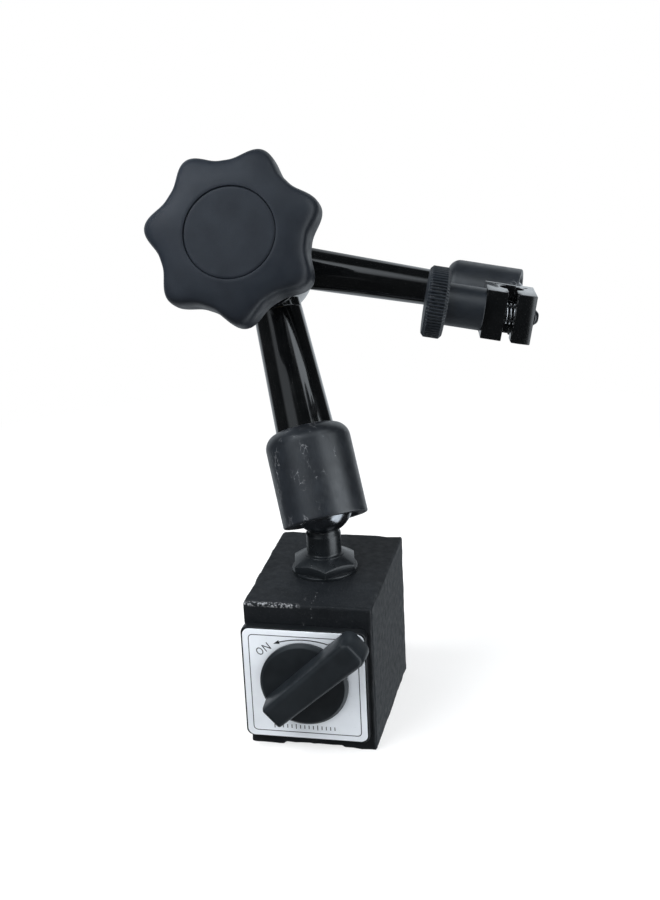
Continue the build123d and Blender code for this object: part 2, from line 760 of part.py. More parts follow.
with BuildPart() as upper_cup_ring:
    turn(
        upper_link,
        (UPPER_CUP_MOUTH - 0.6, UPPER_CUP_RIM),
        (UPPER_CUP_MOUTH, UPPER_CUP_RIM),
        (UPPER_CUP_MOUTH, UPPER_CUP_STEP),
        (UPPER_BALL - 0.5, UPPER_CUP_STEP),
        (UPPER_BALL - 0.82, UPPER_CUP_RIM - 1.6),
    )
    hollow_ball(upper_link, UPPER_BALL + RUNNING)
    stud_slot()
finish(upper_cup_ring, "upper_cup_ring")


# --- Upper ball, stud and clamp ---
upper_seat = sqrt(UPPER_BALL**2 - SHANK_RADIUS**2)
spigot = 2.4

with BuildPart() as upper_ball:
    with Locations(upper_link):
        Sphere(UPPER_BALL)
    turn(
        head,
        (0, upper_seat),
        (UPPER_BALL, upper_seat),
        (UPPER_BALL, UPPER_BALL),
        (0, UPPER_BALL),
        mode=Mode.SUBTRACT,
    )
    drill(head, spigot + RUNNING, -3, upper_seat)
finish(upper_ball, "upper_ball")

with BuildPart() as head_stud:
    turn(
        head,
        (0, -2.5),
        (spigot, -2.5),
        (spigot, upper_seat + RUNNING),
        (SHANK_RADIUS, upper_seat + RUNNING),
        (SHANK_RADIUS, PLATE_BACK),
        (STUD_TAIL, PLATE_BACK),
        (STUD_TAIL, PLATE_FRONT),
        (0, PLATE_FRONT),
    )
finish(head_stud, "head_stud")

gap = JAW_GAP / 2
fixed_side = gap + FIXED_JAW
moving_side = -gap - MOVING_JAW
jaw_start = head.location * Pos(0, -JAW_HEIGHT / 2, 0)
jaw_section = Plane(jaw_start * Rot(90, 0, 0))  # x across the jaws, y along the stud


def jaw_inside(side):
    """Outline of one jaw's gripping side, from the dovetail at the front to the back."""
    return (
        (side * gap, JAW_FRONT),
        (side * (gap + LIP_UNDERCUT), JAW_FRONT - LIP_DEPTH),
        (side * gap, JAW_FRONT - LIP_DEPTH),
    )


def clamp_holes(side):
    """The stem groove, the screw hole with its spring pocket, and a dowel hole in the top."""
    stem = Plane(head.location * Pos(0, 0, STEM_AT) * Rot(-90, 0, 0))
    drill(stem, STEM_RADIUS, -JAW_HEIGHT / 2, JAW_HEIGHT / 2)
    reach = (0, fixed_side + 1) if side > 0 else (moving_side - 1, 0)
    drill(screw_axis, SCREW_RADIUS if side > 0 else SCREW_RADIUS + RUNNING, *reach)
    pocket = (0, gap + POCKET_DEPTH) if side > 0 else (-gap - POCKET_DEPTH, 0)
    drill(screw_axis, SPRING_POCKET, *pocket)
    dowel = Plane(head.location * Pos(side * 4.7, 0, PLATE_FRONT + 1.8) * Rot(-90, 0, 0))
    drill(dowel, 0.8, JAW_HEIGHT / 2 - 3, JAW_HEIGHT / 2)


with BuildPart() as fixed_jaw:
    with BuildSketch(jaw_section):
        with BuildLine():
            Polyline(
                *jaw_inside(1),
                (gap, PLATE_FRONT),
                (moving_side, PLATE_FRONT),
                (moving_side, PLATE_BACK),
                (fixed_side, PLATE_BACK),
                (fixed_side, JAW_FRONT),
                close=True,
            )
        make_face()
    extrude(amount=-JAW_HEIGHT)
    clamp_holes(1)
    drill(head, STUD_TAIL, PLATE_BACK, PLATE_FRONT)
finish(fixed_jaw, "fixed_jaw")

with BuildPart() as moving_jaw:
    with BuildSketch(jaw_section):
        with BuildLine():
            Polyline(
                *jaw_inside(-1),
                (-gap, PLATE_FRONT + RUNNING),
                (moving_side, PLATE_FRONT + RUNNING),
                (moving_side, JAW_FRONT),
                close=True,
            )
        make_face()
    extrude(amount=-JAW_HEIGHT)
    clamp_holes(-1)
finish(moving_jaw, "moving_jaw")

screw_end = 3.6 - RING_END
with BuildPart() as clamp_screw:
    turn(
        screw_axis,
        (0, screw_end),
        (SCREW_RADIUS, screw_end),
        (SCREW_RADIUS, fixed_side + 0.4),
        (1.6, fixed_side + 1.3),
        (0, fixed_side + 1.5),
    )
finish(clamp_screw, "clamp_screw")

spring_wire = 0.3
spring_mean = 3.05
spring_turns = 6
spring_length = 2 * (gap + POCKET_DEPTH) - 2 * spring_wire - 0.1
with BuildPart() as clamp_spring:
    spring_start = screw_axis.origin - screw_axis.z_dir * spring_length / 2
    with BuildLine() as coil:
        Helix(
            spring_length / spring_turns,
            spring_length,
            spring_mean,
            center=spring_start,
            direction=screw_axis.z_dir,
        )
    with BuildSketch(Plane(origin=coil.line @ 0, z_dir=coil.line % 0)):
        Circle(spring_wire)
    sweep(path=coil.line)
finish(clamp_spring, "clamp_spring")

with BuildPart() as thumb_nut:
    nut_face = moving_side - 0.05
    turn(
        screw_axis,
        (SCREW_RADIUS + RUNNING, nut_face),
        (BARREL_RADIUS, nut_face),
        (BARREL_RADIUS, -BARREL_END),
        (RING_RADIUS - 1, -BARREL_END),
        (RING_RADIUS, -BARREL_END - 0.9),
        (RING_RADIUS, -RING_END + 0.9),
        (RING_RADIUS - 1, -RING_END),
        (0, -RING_END),
        (0, -RING_END + 2),
        (SCREW_RADIUS + RUNNING, -RING_END + 2),
    )
    with BuildSketch(Plane(screw_axis.location * Pos(0, 0, -RING_END))):
        with PolarLocations(RING_RADIUS, RING_TEETH):
            RegularPolygon(0.42, 4)
    extrude(amount=RING_END - BARREL_END, mode=Mode.SUBTRACT)
finish(thumb_nut, "thumb_nut")
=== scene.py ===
"""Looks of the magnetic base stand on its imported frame: fine meshes, node materials, studio and camera."""

import json
import math

import bmesh
import bpy
from mathutils import Matrix, Vector, noise


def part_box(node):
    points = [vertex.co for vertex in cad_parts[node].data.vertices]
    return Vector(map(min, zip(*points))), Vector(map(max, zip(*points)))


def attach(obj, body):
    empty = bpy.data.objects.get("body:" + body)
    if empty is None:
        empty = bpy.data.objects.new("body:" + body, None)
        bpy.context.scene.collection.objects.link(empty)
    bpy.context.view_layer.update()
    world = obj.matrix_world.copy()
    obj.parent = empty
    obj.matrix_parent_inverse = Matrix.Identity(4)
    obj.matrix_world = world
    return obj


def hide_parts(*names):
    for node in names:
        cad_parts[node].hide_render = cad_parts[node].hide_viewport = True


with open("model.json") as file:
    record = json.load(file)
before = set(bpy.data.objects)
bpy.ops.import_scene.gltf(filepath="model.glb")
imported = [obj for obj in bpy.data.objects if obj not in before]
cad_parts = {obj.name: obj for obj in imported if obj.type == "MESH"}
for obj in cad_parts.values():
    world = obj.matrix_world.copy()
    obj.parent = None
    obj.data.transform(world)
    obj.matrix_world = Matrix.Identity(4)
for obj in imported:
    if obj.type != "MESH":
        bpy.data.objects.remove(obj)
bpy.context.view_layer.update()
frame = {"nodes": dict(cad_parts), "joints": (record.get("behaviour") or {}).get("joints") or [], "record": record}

MM = 0.001
ON_AXIS = 1e-4  # a radius, in millimetres, that counts as none
JOINTS = {joint["name"]: joint for joint in frame["joints"]}
MOUNTS = {mount["name"]: mount for mount in frame["record"]["mounts"]}


# --- Frames of the moving parts, from the record ---
def place(origin, x, z):
    """A frame at an origin in metres, with the given Z and an X as close as possible to x."""
    z = Vector(z).normalized()
    x = Vector(x)
    x = (x - x.dot(z) * z).normalized()
    turned = Matrix((x, z.cross(x), z)).transposed().to_4x4()
    return Matrix.Translation(origin) @ turned


lower_axis = Vector(JOINTS["lower_rod_slide"]["axis"])
upper_axis = -Vector(JOINTS["upper_rod_slide"]["axis"])
elbow_axis = Vector(JOINTS["knob_turn"]["axis"])
stud_axis = Vector(JOINTS["upper_ball_spin"]["axis"])
screw_direction = Vector(JOINTS["jaw_slide"]["axis"])
lower_centre = Vector(JOINTS["lower_ball_spin"]["pos_m"])
elbow_centre = Vector(JOINTS["elbow_fold"]["pos_m"])
upper_centre = Vector(JOINTS["upper_ball_swing"]["pos_m"])
magnet_centre = Vector(JOINTS["switch_turn"]["pos_m"])
nut_centre = Vector(JOINTS["nut_turn"]["pos_m"])
screw_centre = nut_centre - (nut_centre - upper_centre).dot(screw_direction) * screw_direction

WORLD = Matrix.Identity(4)
SWITCH = place(magnet_centre, (1, 0, 0), (0, -1, 0))
STUD = place((0, 0, 0), (1, 0, 0), (0, 0, 1))
LOWER = place(lower_centre, elbow_axis, lower_axis)
ELBOW = place(elbow_centre, -lower_axis, elbow_axis)
UPPER = place(upper_centre, elbow_axis, upper_axis)
HEAD = place(upper_centre, screw_direction, stud_axis)
SCREW = place(screw_centre, stud_axis, screw_direction)


def extent(node, home):
    """A CAD node's lowest and highest corner in a frame, in millimetres."""
    inverse = home.inverted()
    points = [inverse @ v.co / MM for v in frame["nodes"][node].data.vertices]
    low = Vector([min(p[i] for p in points) for i in range(3)])
    high = Vector([max(p[i] for p in points) for i in range(3)])
    return low, high


# --- Mesh building, in millimetres in a piece's own frame ---
def soften(points, steps=5, closed=True):
    """A profile whose corners, given as (x, y) or (x, y, radius), are rounded by arcs."""
    out = []
    count = len(points)
    for i, point in enumerate(points):
        corner = Vector(point[:2])
        radius = point[2] if len(point) > 2 else 0
        if radius <= 0 or (not closed and i in (0, count - 1)):
            out.append(corner)
            continue
        before = Vector(points[i - 1][:2]) - corner
        after = Vector(points[(i + 1) % count][:2]) - corner
        angle = before.angle(after)
        cut = min(radius / math.tan(angle / 2), 0.49 * before.length, 0.49 * after.length)
        radius = cut * math.tan(angle / 2)
        before.normalize()
        after.normalize()
        centre = corner + (before + after).normalized() * (radius / math.sin(angle / 2))
        first = corner + before * cut - centre
        last = corner + after * cut - centre
        sweep = math.pi - angle
        for k in range(steps + 1):
            t = k / steps
            blend = first * math.sin((1 - t) * sweep) + last * math.sin(t * sweep)
            out.append(centre + blend / math.sin(sweep))
    return out


def arc(centre, radius, start, end, steps):
    """Points on a circle about (r, z), angles in degrees from the +r direction."""
    angles = [math.radians(start + (end - start) * k / steps) for k in range(steps + 1)]
    return [(centre[0] + radius * math.cos(a), centre[1] + radius * math.sin(a), 0) for a in angles]


def new_piece(name, data, home):
    """Adds an object with its mesh, camera or light to the scene."""
    piece = bpy.data.objects.new(name, data)
    piece.matrix_world = home
    bpy.context.scene.collection.objects.link(piece)
    return piece


def from_bmesh(name, bm, home):
    bmesh.ops.recalc_face_normals(bm, faces=bm.faces)
    mesh = bpy.data.meshes.new(name)
    bm.to_mesh(mesh)
    bm.free()
    return new_piece(name, mesh, home)


def ring_at(bm, outline, height):
    return [bm.verts.new((p[0] * MM, p[1] * MM, height * MM)) for p in outline]


def join_rings(bm, ring, after):
    for k in range(len(ring)):
        n = (k + 1) % len(ring)
        bm.faces.new((ring[k], ring[n], after[n], after[k]))


def skin(bm, sections):
    """Adds a closed skin through outlines with equal numbers of points, each at its own height."""
    rings = [ring_at(bm, outline, height) for outline, height in sections]
    bm.faces.new(rings[0])
    bm.faces.new(rings[-1])
    for ring, after in zip(rings, rings[1:]):
        join_rings(bm, ring, after)


def loft(name, home, sections):
    bm = bmesh.new()
    skin(bm, sections)
    return from_bmesh(name, bm, home)


def prism(name, home, outline, low, high, turned=None):
    """Extrudes a closed outline along Z, or along the axis that turned maps Z to."""
    bm = bmesh.new()
    skin(bm, [(outline, low), (outline, high)])
    if turned is not None:
        bm.transform(turned)
    return from_bmesh(name, bm, home)


def band(name, home, outer, inner, low, high):
    """A flat closed loop between two outlines with equal numbers of points."""
    bm = bmesh.new()
    corners = ((outer, low), (outer, high), (inner, high), (inner, low))
    rings = [ring_at(bm, outline, height) for outline, height in corners]
    for i, ring in enumerate(rings):
        join_rings(bm, ring, rings[(i + 1) % 4])
    return from_bmesh(name, bm, home)


def lathe(name, home, profile, segments=96, shape=None):
    """Turns a closed profile of (radius, height) about Z, with each radius changed by shape if given."""
    bm = bmesh.new()
    rings = []
    for radius, height in [(p[0], p[1]) for p in profile]:
        if radius < ON_AXIS:
            rings.append([bm.verts.new((0, 0, height * MM))])
            continue
        ring = []
        for k in range(segments):
            angle = 2 * math.pi * k / segments
            r = shape(radius, height, angle) if shape else radius
            ring.append(bm.verts.new((r * math.cos(angle) * MM, r * math.sin(angle) * MM, height * MM)))
        rings.append(ring)
    for i, ring in enumerate(rings):
        after = rings[(i + 1) % len(rings)]
        if len(ring) == 1 and len(after) == 1:
            continue
        for k in range(segments):
            n = (k + 1) % segments
            if len(ring) == 1:
                bm.faces.new((ring[0], after[n], after[k]))
            elif len(after) == 1:
                bm.faces.new((ring[k], ring[n], after[0]))
            else:
                bm.faces.new((ring[k], ring[n], after[n], after[k]))
    return from_bmesh(name, bm, home)


def bake(piece):
    """Makes a piece's modifiers part of its mesh."""
    evaluated = piece.evaluated_get(bpy.context.evaluated_depsgraph_get())
    mesh = bpy.data.meshes.new_from_object(evaluated)
    piece.modifiers.clear()
    piece.data = mesh
    return piece


def combine(piece, other, operation="DIFFERENCE"):
    """Cuts, joins or intersects a piece with another, which is then removed."""
    modifier = piece.modifiers.new("combine", "BOOLEAN")
    modifier.object = other
    modifier.operation = operation
    modifier.solver = "EXACT"
    bake(piece)
    bpy.data.objects.remove(other)
    return piece


def bevel(piece, width, segments=3, angle=35):
    modifier = piece.modifiers.new("bevel", "BEVEL")
    modifier.width = width * MM
    modifier.segments = segments
    modifier.limit_method = "ANGLE"
    modifier.angle_limit = math.radians(angle)
    return bake(piece)


def smooth(piece, angle=32):
    for polygon in piece.data.polygons:
        polygon.use_smooth = True
    piece.data.set_sharp_from_angle(angle=math.radians(angle))
    return piece


def rounded_box_outline(width, height, corner, x=0.0, y=0.0, steps=8):
    w, h = width / 2, height / 2
    return soften([(x + i * w, y + j * h, corner) for i, j in ((-1, -1), (1, -1), (1, 1), (-1, 1))], steps)


def bore(piece, home, radius, low, high, segments=64):
    """Cuts a round hole along Z."""
    combine(piece, lathe("cutter", home, [(0, low), (radius, low), (radius, high), (0, high)], segments))


block_low, block_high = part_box("left_pole")[0] / MM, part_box("right_pole")[1] / MM
block_size = block_high - block_low
block_middle = (block_low + block_high) / 2


# --- Node materials ---
class Nodes:
    """Short-hand for building one node tree."""

    def __init__(self, tree):
        self.tree = tree
        tree.nodes.clear()

    def add(self, kind, inputs=None, **settings):
        made = self.tree.nodes.new("ShaderNode" + kind)
        for key, value in settings.items():
            setattr(made, key, value)
        for key, value in (inputs or {}).items():
            if isinstance(value, bpy.types.NodeSocket):
                self.tree.links.new(value, made.inputs[key])
            else:
                made.inputs[key].default_value = value
        return made

    def math(self, operation, a, b=0.0, clamp=False):
        return self.add("Math", {0: a, 1: b}, operation=operation, use_clamp=clamp).outputs[0]

    def times(self, a, b, clamp=False):
        return self.math("MULTIPLY", a, b, clamp)

    def between(self, value, low, high, out_low=0.0, out_high=1.0):
        inputs = {"Value": value, "From Min": low, "From Max": high, "To Min": out_low, "To Max": out_high}
        return self.add("MapRange", inputs).outputs[0]


class Shader(Nodes):
    """One node material. Lengths are in millimetres."""

    def __init__(self, name):
        self.material = bpy.data.materials.new(name)
        self.material.use_nodes = True
        super().__init__(self.material.node_tree)
        self.coordinates = self.add("TexCoord").outputs["Object"]

    def mapped(self, size, offset=0.0):
        """Coordinates in which one unit is size millimetres, or a size per axis."""
        sizes = size if isinstance(size, tuple) else (size, size, size)
        scale = tuple(1 / (s * MM) for s in sizes)
        inputs = {"Vector": self.coordinates, "Scale": scale, "Location": (offset,) * 3}
        return self.add("Mapping", inputs).outputs[0]

    def noise(self, size, detail=2.0, rough=0.5, offset=0.0):
        inputs = {"Vector": self.mapped(size, offset), "Scale": 1.0, "Detail": detail, "Roughness": rough}
        return self.add("TexNoise", inputs).outputs["Fac"]

    def mix(self, share, a, b):
        made = self.add("Mix", data_type="RGBA")
        for socket, value in ((made.inputs[0], share), (made.inputs[6], a), (made.inputs[7], b)):
            if isinstance(value, bpy.types.NodeSocket):
                self.tree.links.new(value, socket)
            elif socket.type == "RGBA":
                socket.default_value = (*value, 1)
            else:
                socket.default_value = value
        return made.outputs[2]

    def over(self, colour, mask, strength, shade):
        """A shade laid over a colour where the mask is 1."""
        return self.mix(self.times(mask, strength), colour, shade)

    def clouded(self, size, detail, dark, light):
        """Two colours in soft clouds."""
        return self.mix(self.between(self.noise(size, detail), 0.3, 0.7), dark, light)

    def edges(self, width, gain=4.0):
        """1 at the edges of the shape and 0 on its flats."""
        soft = self.add("Bevel", {"Radius": width * MM}, samples=6).outputs[0]
        hard = self.add("NewGeometry").outputs["Normal"]
        dot = self.add("VectorMath", {0: soft, 1: hard}, operation="DOT_PRODUCT").outputs["Value"]
        return self.times(self.math("SUBTRACT", 1.0, dot), gain, clamp=True)

    def rubbed(self, width, size, low, high):
        """1 where edges are worn, in patches."""
        patches = self.between(self.noise(size, 3.0, 0.6, 2.0), low, high)
        return self.times(self.edges(width, 3.0), patches)

    def bump(self, height, depth, normal=None):
        inputs = {"Height": height, "Distance": depth * MM, "Strength": 1.0}
        if normal is not None:
            inputs["Normal"] = normal
        return self.add("Bump", inputs).outputs[0]

    def finish(self, colour, rough, metal=0.0, normal=None, **extra):
        inputs = {"Roughness": rough, "Metallic": metal}
        inputs["Base Color"] = colour if isinstance(colour, bpy.types.NodeSocket) else (*colour, 1)
        if normal is not None:
            inputs["Normal"] = normal
        for key, value in extra.items():
            inputs[key.replace("_", " ").title().replace("Ior", "IOR")] = value
        surface = self.add("BsdfPrincipled", inputs)
        self.add("OutputMaterial", {0: surface.outputs[0]})
        return self.material


def cast_paint():
    """Matte black paint on a rough casting, rubbed and chipped to metal along some edges."""
    s = Shader("cast_paint")
    edge = s.edges(0.7, 5.0)
    chips = s.between(s.noise(0.8, 3.0, 0.6), 0.58, 0.64)
    stretch = s.between(s.noise(9, 2.0, 0.5, 3.7), 0.56, 0.66)
    worn = s.times(s.times(edge, chips), stretch, clamp=True)
    x, y, z = s.add("SeparateXYZ", {0: s.coordinates}).outputs
    near_front = s.between(y, (block_low.y + 1.5) * MM, (block_low.y + 0.3) * MM)
    near_top = s.between(z, (block_high.z - 1.5) * MM, (block_high.z - 0.4) * MM)
    near_left = s.between(x, -2 * MM, -9 * MM)
    knocks = s.between(s.noise(0.6, 3.0, 0.6, 4.4), 0.50, 0.58)
    corner = s.times(near_front, near_top)
    struck = s.times(corner, s.times(near_left, knocks))
    chipped = s.math("MAXIMUM", worn, struck, clamp=True)
    coat = s.clouded(9, 4.0, (0.0045, 0.0055, 0.0068), (0.0085, 0.010, 0.012))
    dust = s.between(s.noise(0.5, 2.0, 0.6, 9.1), 0.66, 0.72)
    colour = s.mix(chipped, s.over(coat, dust, 0.12, (0.3, 0.3, 0.3)), (0.55, 0.56, 0.58))
    grit = s.math("ADD", s.times(s.noise(0.45, 4.0, 0.65), 0.5), s.noise(3.2, 3.0, 0.55, 5.2))
    rough = s.between(s.noise(2.5, 3.0), 0.3, 0.7, 0.5, 0.66)
    metal = s.times(chipped, 0.9)
    return s.finish(colour, rough, metal, s.bump(grit, 0.10), specular_ior_level=0.34)


def plastic(name, dark, light, rough, grain, depth, lumps=0.0, shine=0.4):
    """Moulded plastic with a fine grain, faint clouds and rubbed edges."""
    s = Shader(name)
    pale = tuple(4 * c for c in light)
    colour = s.over(s.clouded(8, 3.0, dark, light), s.rubbed(0.5, 2.2, 0.4, 0.7), 0.35, pale)
    scratch = s.between(s.noise((0.25, 7, 0.25), 2.0, 0.5, 6.0), 0.66, 0.70)
    height = s.math("ADD", s.noise(grain, 3.0, 0.6), s.times(s.noise(6, 1.0), lumps))
    height = s.math("SUBTRACT", height, s.times(scratch, 0.25))
    roughness = s.between(s.noise(3, 3.0, 0.6, 8.0), 0.3, 0.7, rough - 0.05, rough + 0.07)
    return s.finish(colour, roughness, 0.0, s.bump(height, depth), specular_ior_level=shine)


def black_steel(name, base, rough, shine, cracks=0.0):
    """Blackened turned steel: fine rings about Z, handling scratches and rubbed edges."""
    s = Shader(name)
    colour = s.clouded(6, 4.0, tuple(0.8 * c for c in base), tuple(1.25 * c for c in base))
    colour = s.over(colour, s.rubbed(0.35, 1.6, 0.42, 0.62), 0.5, (0.35, 0.36, 0.38))
    rings = s.noise((60, 60, 0.22), 2.0)
    height = s.math("ADD", s.times(rings, 0.25), s.times(s.noise(0.8, 3.0), 0.5))
    roughness = s.between(s.noise(2.4, 4.0, 0.6, 4.0), 0.3, 0.7, rough - 0.05, rough + 0.08)
    if cracks:
        warp = s.noise(2.0, 3.0, 0.6, 1.0)
        moved = s.add("VectorMath", {0: s.mapped((1.5, 1.5, 2.6)), 1: warp}, operation="ADD").outputs[0]
        web = s.add("TexVoronoi", {"Vector": moved, "Scale": 1.0}, feature="DISTANCE_TO_EDGE")
        lines = s.between(web.outputs["Distance"], 0.035, 0.0)
        patch = s.between(s.noise((4, 4, 9), 2.0, 0.5, 7.3), 0.58, 0.66)
        marks = s.times(lines, patch, clamp=True)
        colour = s.over(colour, marks, cracks, (0.30, 0.31, 0.33))
        height = s.math("SUBTRACT", height, s.times(marks, 0.6))
    return s.finish(colour, roughness, 0.0, s.bump(height, 0.012), specular_ior_level=shine)


def gloss_black(name="gloss_black", rough=0.10):
    """Deep gloss black finish with a trace of orange peel and dust."""
    s = Shader(name)
    colour = s.clouded(5, 3.0, (0.0015, 0.0018, 0.002), (0.003, 0.0033, 0.0036))
    dust = s.between(s.noise(0.35, 2.0, 0.7, 3.0), 0.68, 0.74)
    colour = s.over(colour, dust, 0.08, (0.4, 0.4, 0.42))
    colour = s.over(colour, s.rubbed(0.3, 1.2, 0.45, 0.6), 0.5, (0.4, 0.41, 0.43))
    roughness = s.between(s.noise(3, 4.0, 0.6, 6.0), 0.35, 0.75, rough, rough + 0.10)
    height = s.math("ADD", s.noise(2.2, 2.0), s.times(dust, 0.3))
    return s.finish(colour, roughness, 0.0, s.bump(height, 0.010), coat_weight=0.6, coat_roughness=0.05)


def turned_metal(name, colour, rough=0.3):
    """Bare machined metal with turning marks and stains."""
    s = Shader(name)
    stain = s.between(s.noise(3, 4.0), 0.35, 0.7)
    shade = s.mix(stain, tuple(0.75 * c for c in colour), colour)
    marks = s.noise((30, 30, 0.12), 2.0)
    roughness = s.between(s.noise(1.5, 3.0, 0.5, 5.0), 0.3, 0.7, rough - 0.06, rough + 0.10)
    return s.finish(shade, roughness, 1.0, s.bump(s.math("ADD", marks, s.noise(0.6, 3.0)), 0.004))


def foil():
    """Silver printed foil with a fine brushed grain."""
    s = Shader("silver_foil")
    grain = s.noise((5, 0.05, 0.05), 2.0)
    specks = s.between(s.noise(0.5, 2.0, 0.6, 3.0), 0.70, 0.76)
    colour = s.clouded(11, 3.0, (0.74, 0.775, 0.82), (0.82, 0.855, 0.90))
    colour = s.over(colour, specks, 0.4, (0.25, 0.26, 0.28))
    return s.finish(colour, s.between(grain, 0.3, 0.7, 0.36, 0.46), 0.25, s.bump(grain, 0.002))


def ink():
    """Black print, worn thin in places."""
    s = Shader("print_ink")
    worn = s.between(s.noise(0.4, 3.0, 0.7), 0.62, 0.75)
    colour = s.over((0.02, 0.021, 0.024), worn, 0.5, (0.5, 0.52, 0.55))
    return s.finish(colour, 0.55, 0.0, s.bump(s.noise(0.2), 0.002))


LOOKS = {
    "black_paint": cast_paint(),
    "cover_plastic": plastic("cover_plastic", (0.004, 0.005, 0.006), (0.008, 0.009, 0.010), 0.40, 0.5, 0.012),
    "lever_plastic": plastic(
        "lever_plastic", (0.008, 0.010, 0.012), (0.013, 0.016, 0.019), 0.36, 0.6, 0.012, 0.6
    ),
    "knob_plastic": plastic(
        "knob_plastic", (0.0065, 0.0082, 0.0115), (0.0095, 0.012, 0.0162), 0.42, 0.38, 0.030, 0.8, 0.36
    ),
    "satin_black": black_steel("cup_steel", (0.009, 0.011, 0.014), 0.36, 0.85, cracks=0.55),
    "black_oxide": black_steel("oxide_steel", (0.006, 0.0075, 0.009), 0.30, 0.7),
    "nut": black_steel("nut_steel", (0.006, 0.008, 0.011), 0.40, 0.55),
    "gloss_black": gloss_black(),
    "jaw": gloss_black("jaw_gloss", 0.16),
    "ball_steel": turned_metal("polished_steel", (0.30, 0.31, 0.33), 0.16),
    "steel": turned_metal("bare_steel", (0.50, 0.51, 0.53), 0.30),
    "bright_spring": turned_metal("spring_steel", (0.85, 0.86, 0.88), 0.16),
    "brass": turned_metal("brass_metal", (0.72, 0.52, 0.22), 0.30),
    "aluminium": turned_metal("aluminium_metal", (0.70, 0.71, 0.73), 0.34),
    "magnet": turned_metal("magnet_metal", (0.16, 0.16, 0.17), 0.45),
    "label": foil(),
    "print": ink(),
}
for part in frame["record"]["subparts"]:
    cad = frame["nodes"][part["node"]]
    cad.data.materials.clear()
    cad.data.materials.append(LOOKS[part["material_slot"]])


def fit(piece, body, slot, *nodes, look=None, angle=32):
    """Shades a piece, gives it its look and body, and lets it stand for CAD nodes."""
    smooth(piece, angle)
    piece.data.materials.clear()
    piece.data.materials.append(LOOKS[look or slot])
    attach(piece, body)
    if nodes:
        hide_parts(*nodes)
    return piece


# --- Magnet block: two poles and two dividers under one coat of paint ---
EDGE_LINES = (0.0, 0.12, 0.28, 0.48, 0.72, 1.0, 1.35, 1.8, 2.4)  # distances from an edge that is rounded


def grid_lines(low, high, fine_low, fine_high, step=1.6):
    """Positions along one side of a block, closer together near the ends that are edges."""
    starts = [low + d for d in EDGE_LINES] if fine_low else [low]
    ends = [high - d for d in reversed(EDGE_LINES)] if fine_high else [high]
    count = max(1, round((ends[0] - starts[-1]) / step))
    middle = [starts[-1] + (ends[0] - starts[-1]) * k / count for k in range(1, count)]
    return starts + middle + ends


def grid_box(xs, ys, zs, move):
    """A closed box surface on grid lines, each point moved by a function."""
    bm = bmesh.new()
    made = {}

    def vertex(i, j, k):
        if (i, j, k) not in made:
            made[i, j, k] = bm.verts.new(move(Vector((xs[i], ys[j], zs[k]))) * MM)
        return made[i, j, k]

    last = (len(xs) - 1, len(ys) - 1, len(zs) - 1)
    for first, second, third in ((0, 1, 2), (0, 2, 1), (1, 2, 0)):
        for u in range(last[first]):
            for v in range(last[second]):
                for level in (0, last[third]):
                    corners = []
                    for du, dv in ((0, 0), (1, 0), (1, 1), (0, 1)):
                        at = [level] * 3
                        at[first], at[second] = u + du, v + dv
                        corners.append(vertex(*at))
                    bm.faces.new(corners)
    return bm


EDGE_RADIUS, LONG_WAVES, SHORT_WAVES = 1.0, 5.0, 1.7  # uneven rounding of the casting's edges
relief_flat, relief_edge = 10.0, 11.0  # half widths of the channel between the feet
relief_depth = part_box("lower_divider")[0].z / MM


def cast_surface(p):
    """Moves a point of the ideal block onto the cast one: uneven rounded edges, a shallow channel below."""
    wander = noise.noise(p / LONG_WAVES) + 0.6 * noise.noise(p / SHORT_WAVES)
    radius = EDGE_RADIUS * (1 + 0.75 * max(-0.8, min(1.0, wander)))
    half = block_size / 2 - Vector((radius,) * 3)
    q = p - block_middle
    inner = Vector([max(-half[i], min(half[i], q[i])) for i in range(3)])
    away = q - inner
    if away.length > radius:
        q = inner + away * (radius / away.length)
    q += block_middle
    across = max(0.0, min(1.0, (relief_edge - abs(q.x)) / (relief_edge - relief_flat)))
    q.z += relief_depth * across * (1 - q.z / block_size.z)
    return q


half_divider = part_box("upper_divider")[1].x / MM
bore_radius = extent("front_bush", SWITCH)[1].x
stud_radius = 5.0
stud_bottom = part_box("ball_stud")[0].z / MM
rotor_height = magnet_centre.z / MM
y_lines = grid_lines(block_low.y, block_high.y, True, True)
z_full = grid_lines(block_low.z, block_high.z, True, True)


def block_part(name, xs, zs, *nodes, slot="black_paint"):
    piece = from_bmesh(name, grid_box(xs, y_lines, zs, cast_surface), WORLD)
    bore(piece, SWITCH, bore_radius, block_low.y - 1, block_high.y + 1, 96)
    bore(piece, STUD, stud_radius, stud_bottom - 0.5, block_high.z + 1, 48)
    return fit(piece, "base", slot, *nodes, look="black_paint", angle=40)


left_lines = grid_lines(block_low.x, -relief_edge, True, False)
left_lines += grid_lines(-relief_flat, -half_divider, False, False)
right_lines = grid_lines(half_divider, relief_flat, False, False)
right_lines += grid_lines(relief_edge, block_high.x, False, True)
middle_lines = [-half_divider, 0.0, half_divider]
block_part("pole_left", left_lines, z_full, "left_pole")
block_part("pole_right", right_lines, z_full, "right_pole")
upper_lines = grid_lines(rotor_height, block_high.z, False, True)
lower_lines = grid_lines(block_low.z, rotor_height, True, False)
block_part("divider_upper", middle_lines, upper_lines, "upper_divider", slot="brass")
block_part("divider_lower", middle_lines, lower_lines, "lower_divider", slot="brass")


# --- Shapes measured on the CAD nodes ---
def fold_angle(node, home, count=1, share=0.9):
    """Direction about Z of a node's outermost ends, when it has count of them evenly spaced."""
    inverse = home.inverted()
    points = [(inverse @ v.co).xy for v in frame["nodes"][node].data.vertices]
    reach = share * max(p.length for p in points)
    angles = [count * math.atan2(p.y, p.x) for p in points if p.length > reach]
    return math.atan2(sum(map(math.sin, angles)), sum(map(math.cos, angles))) / count


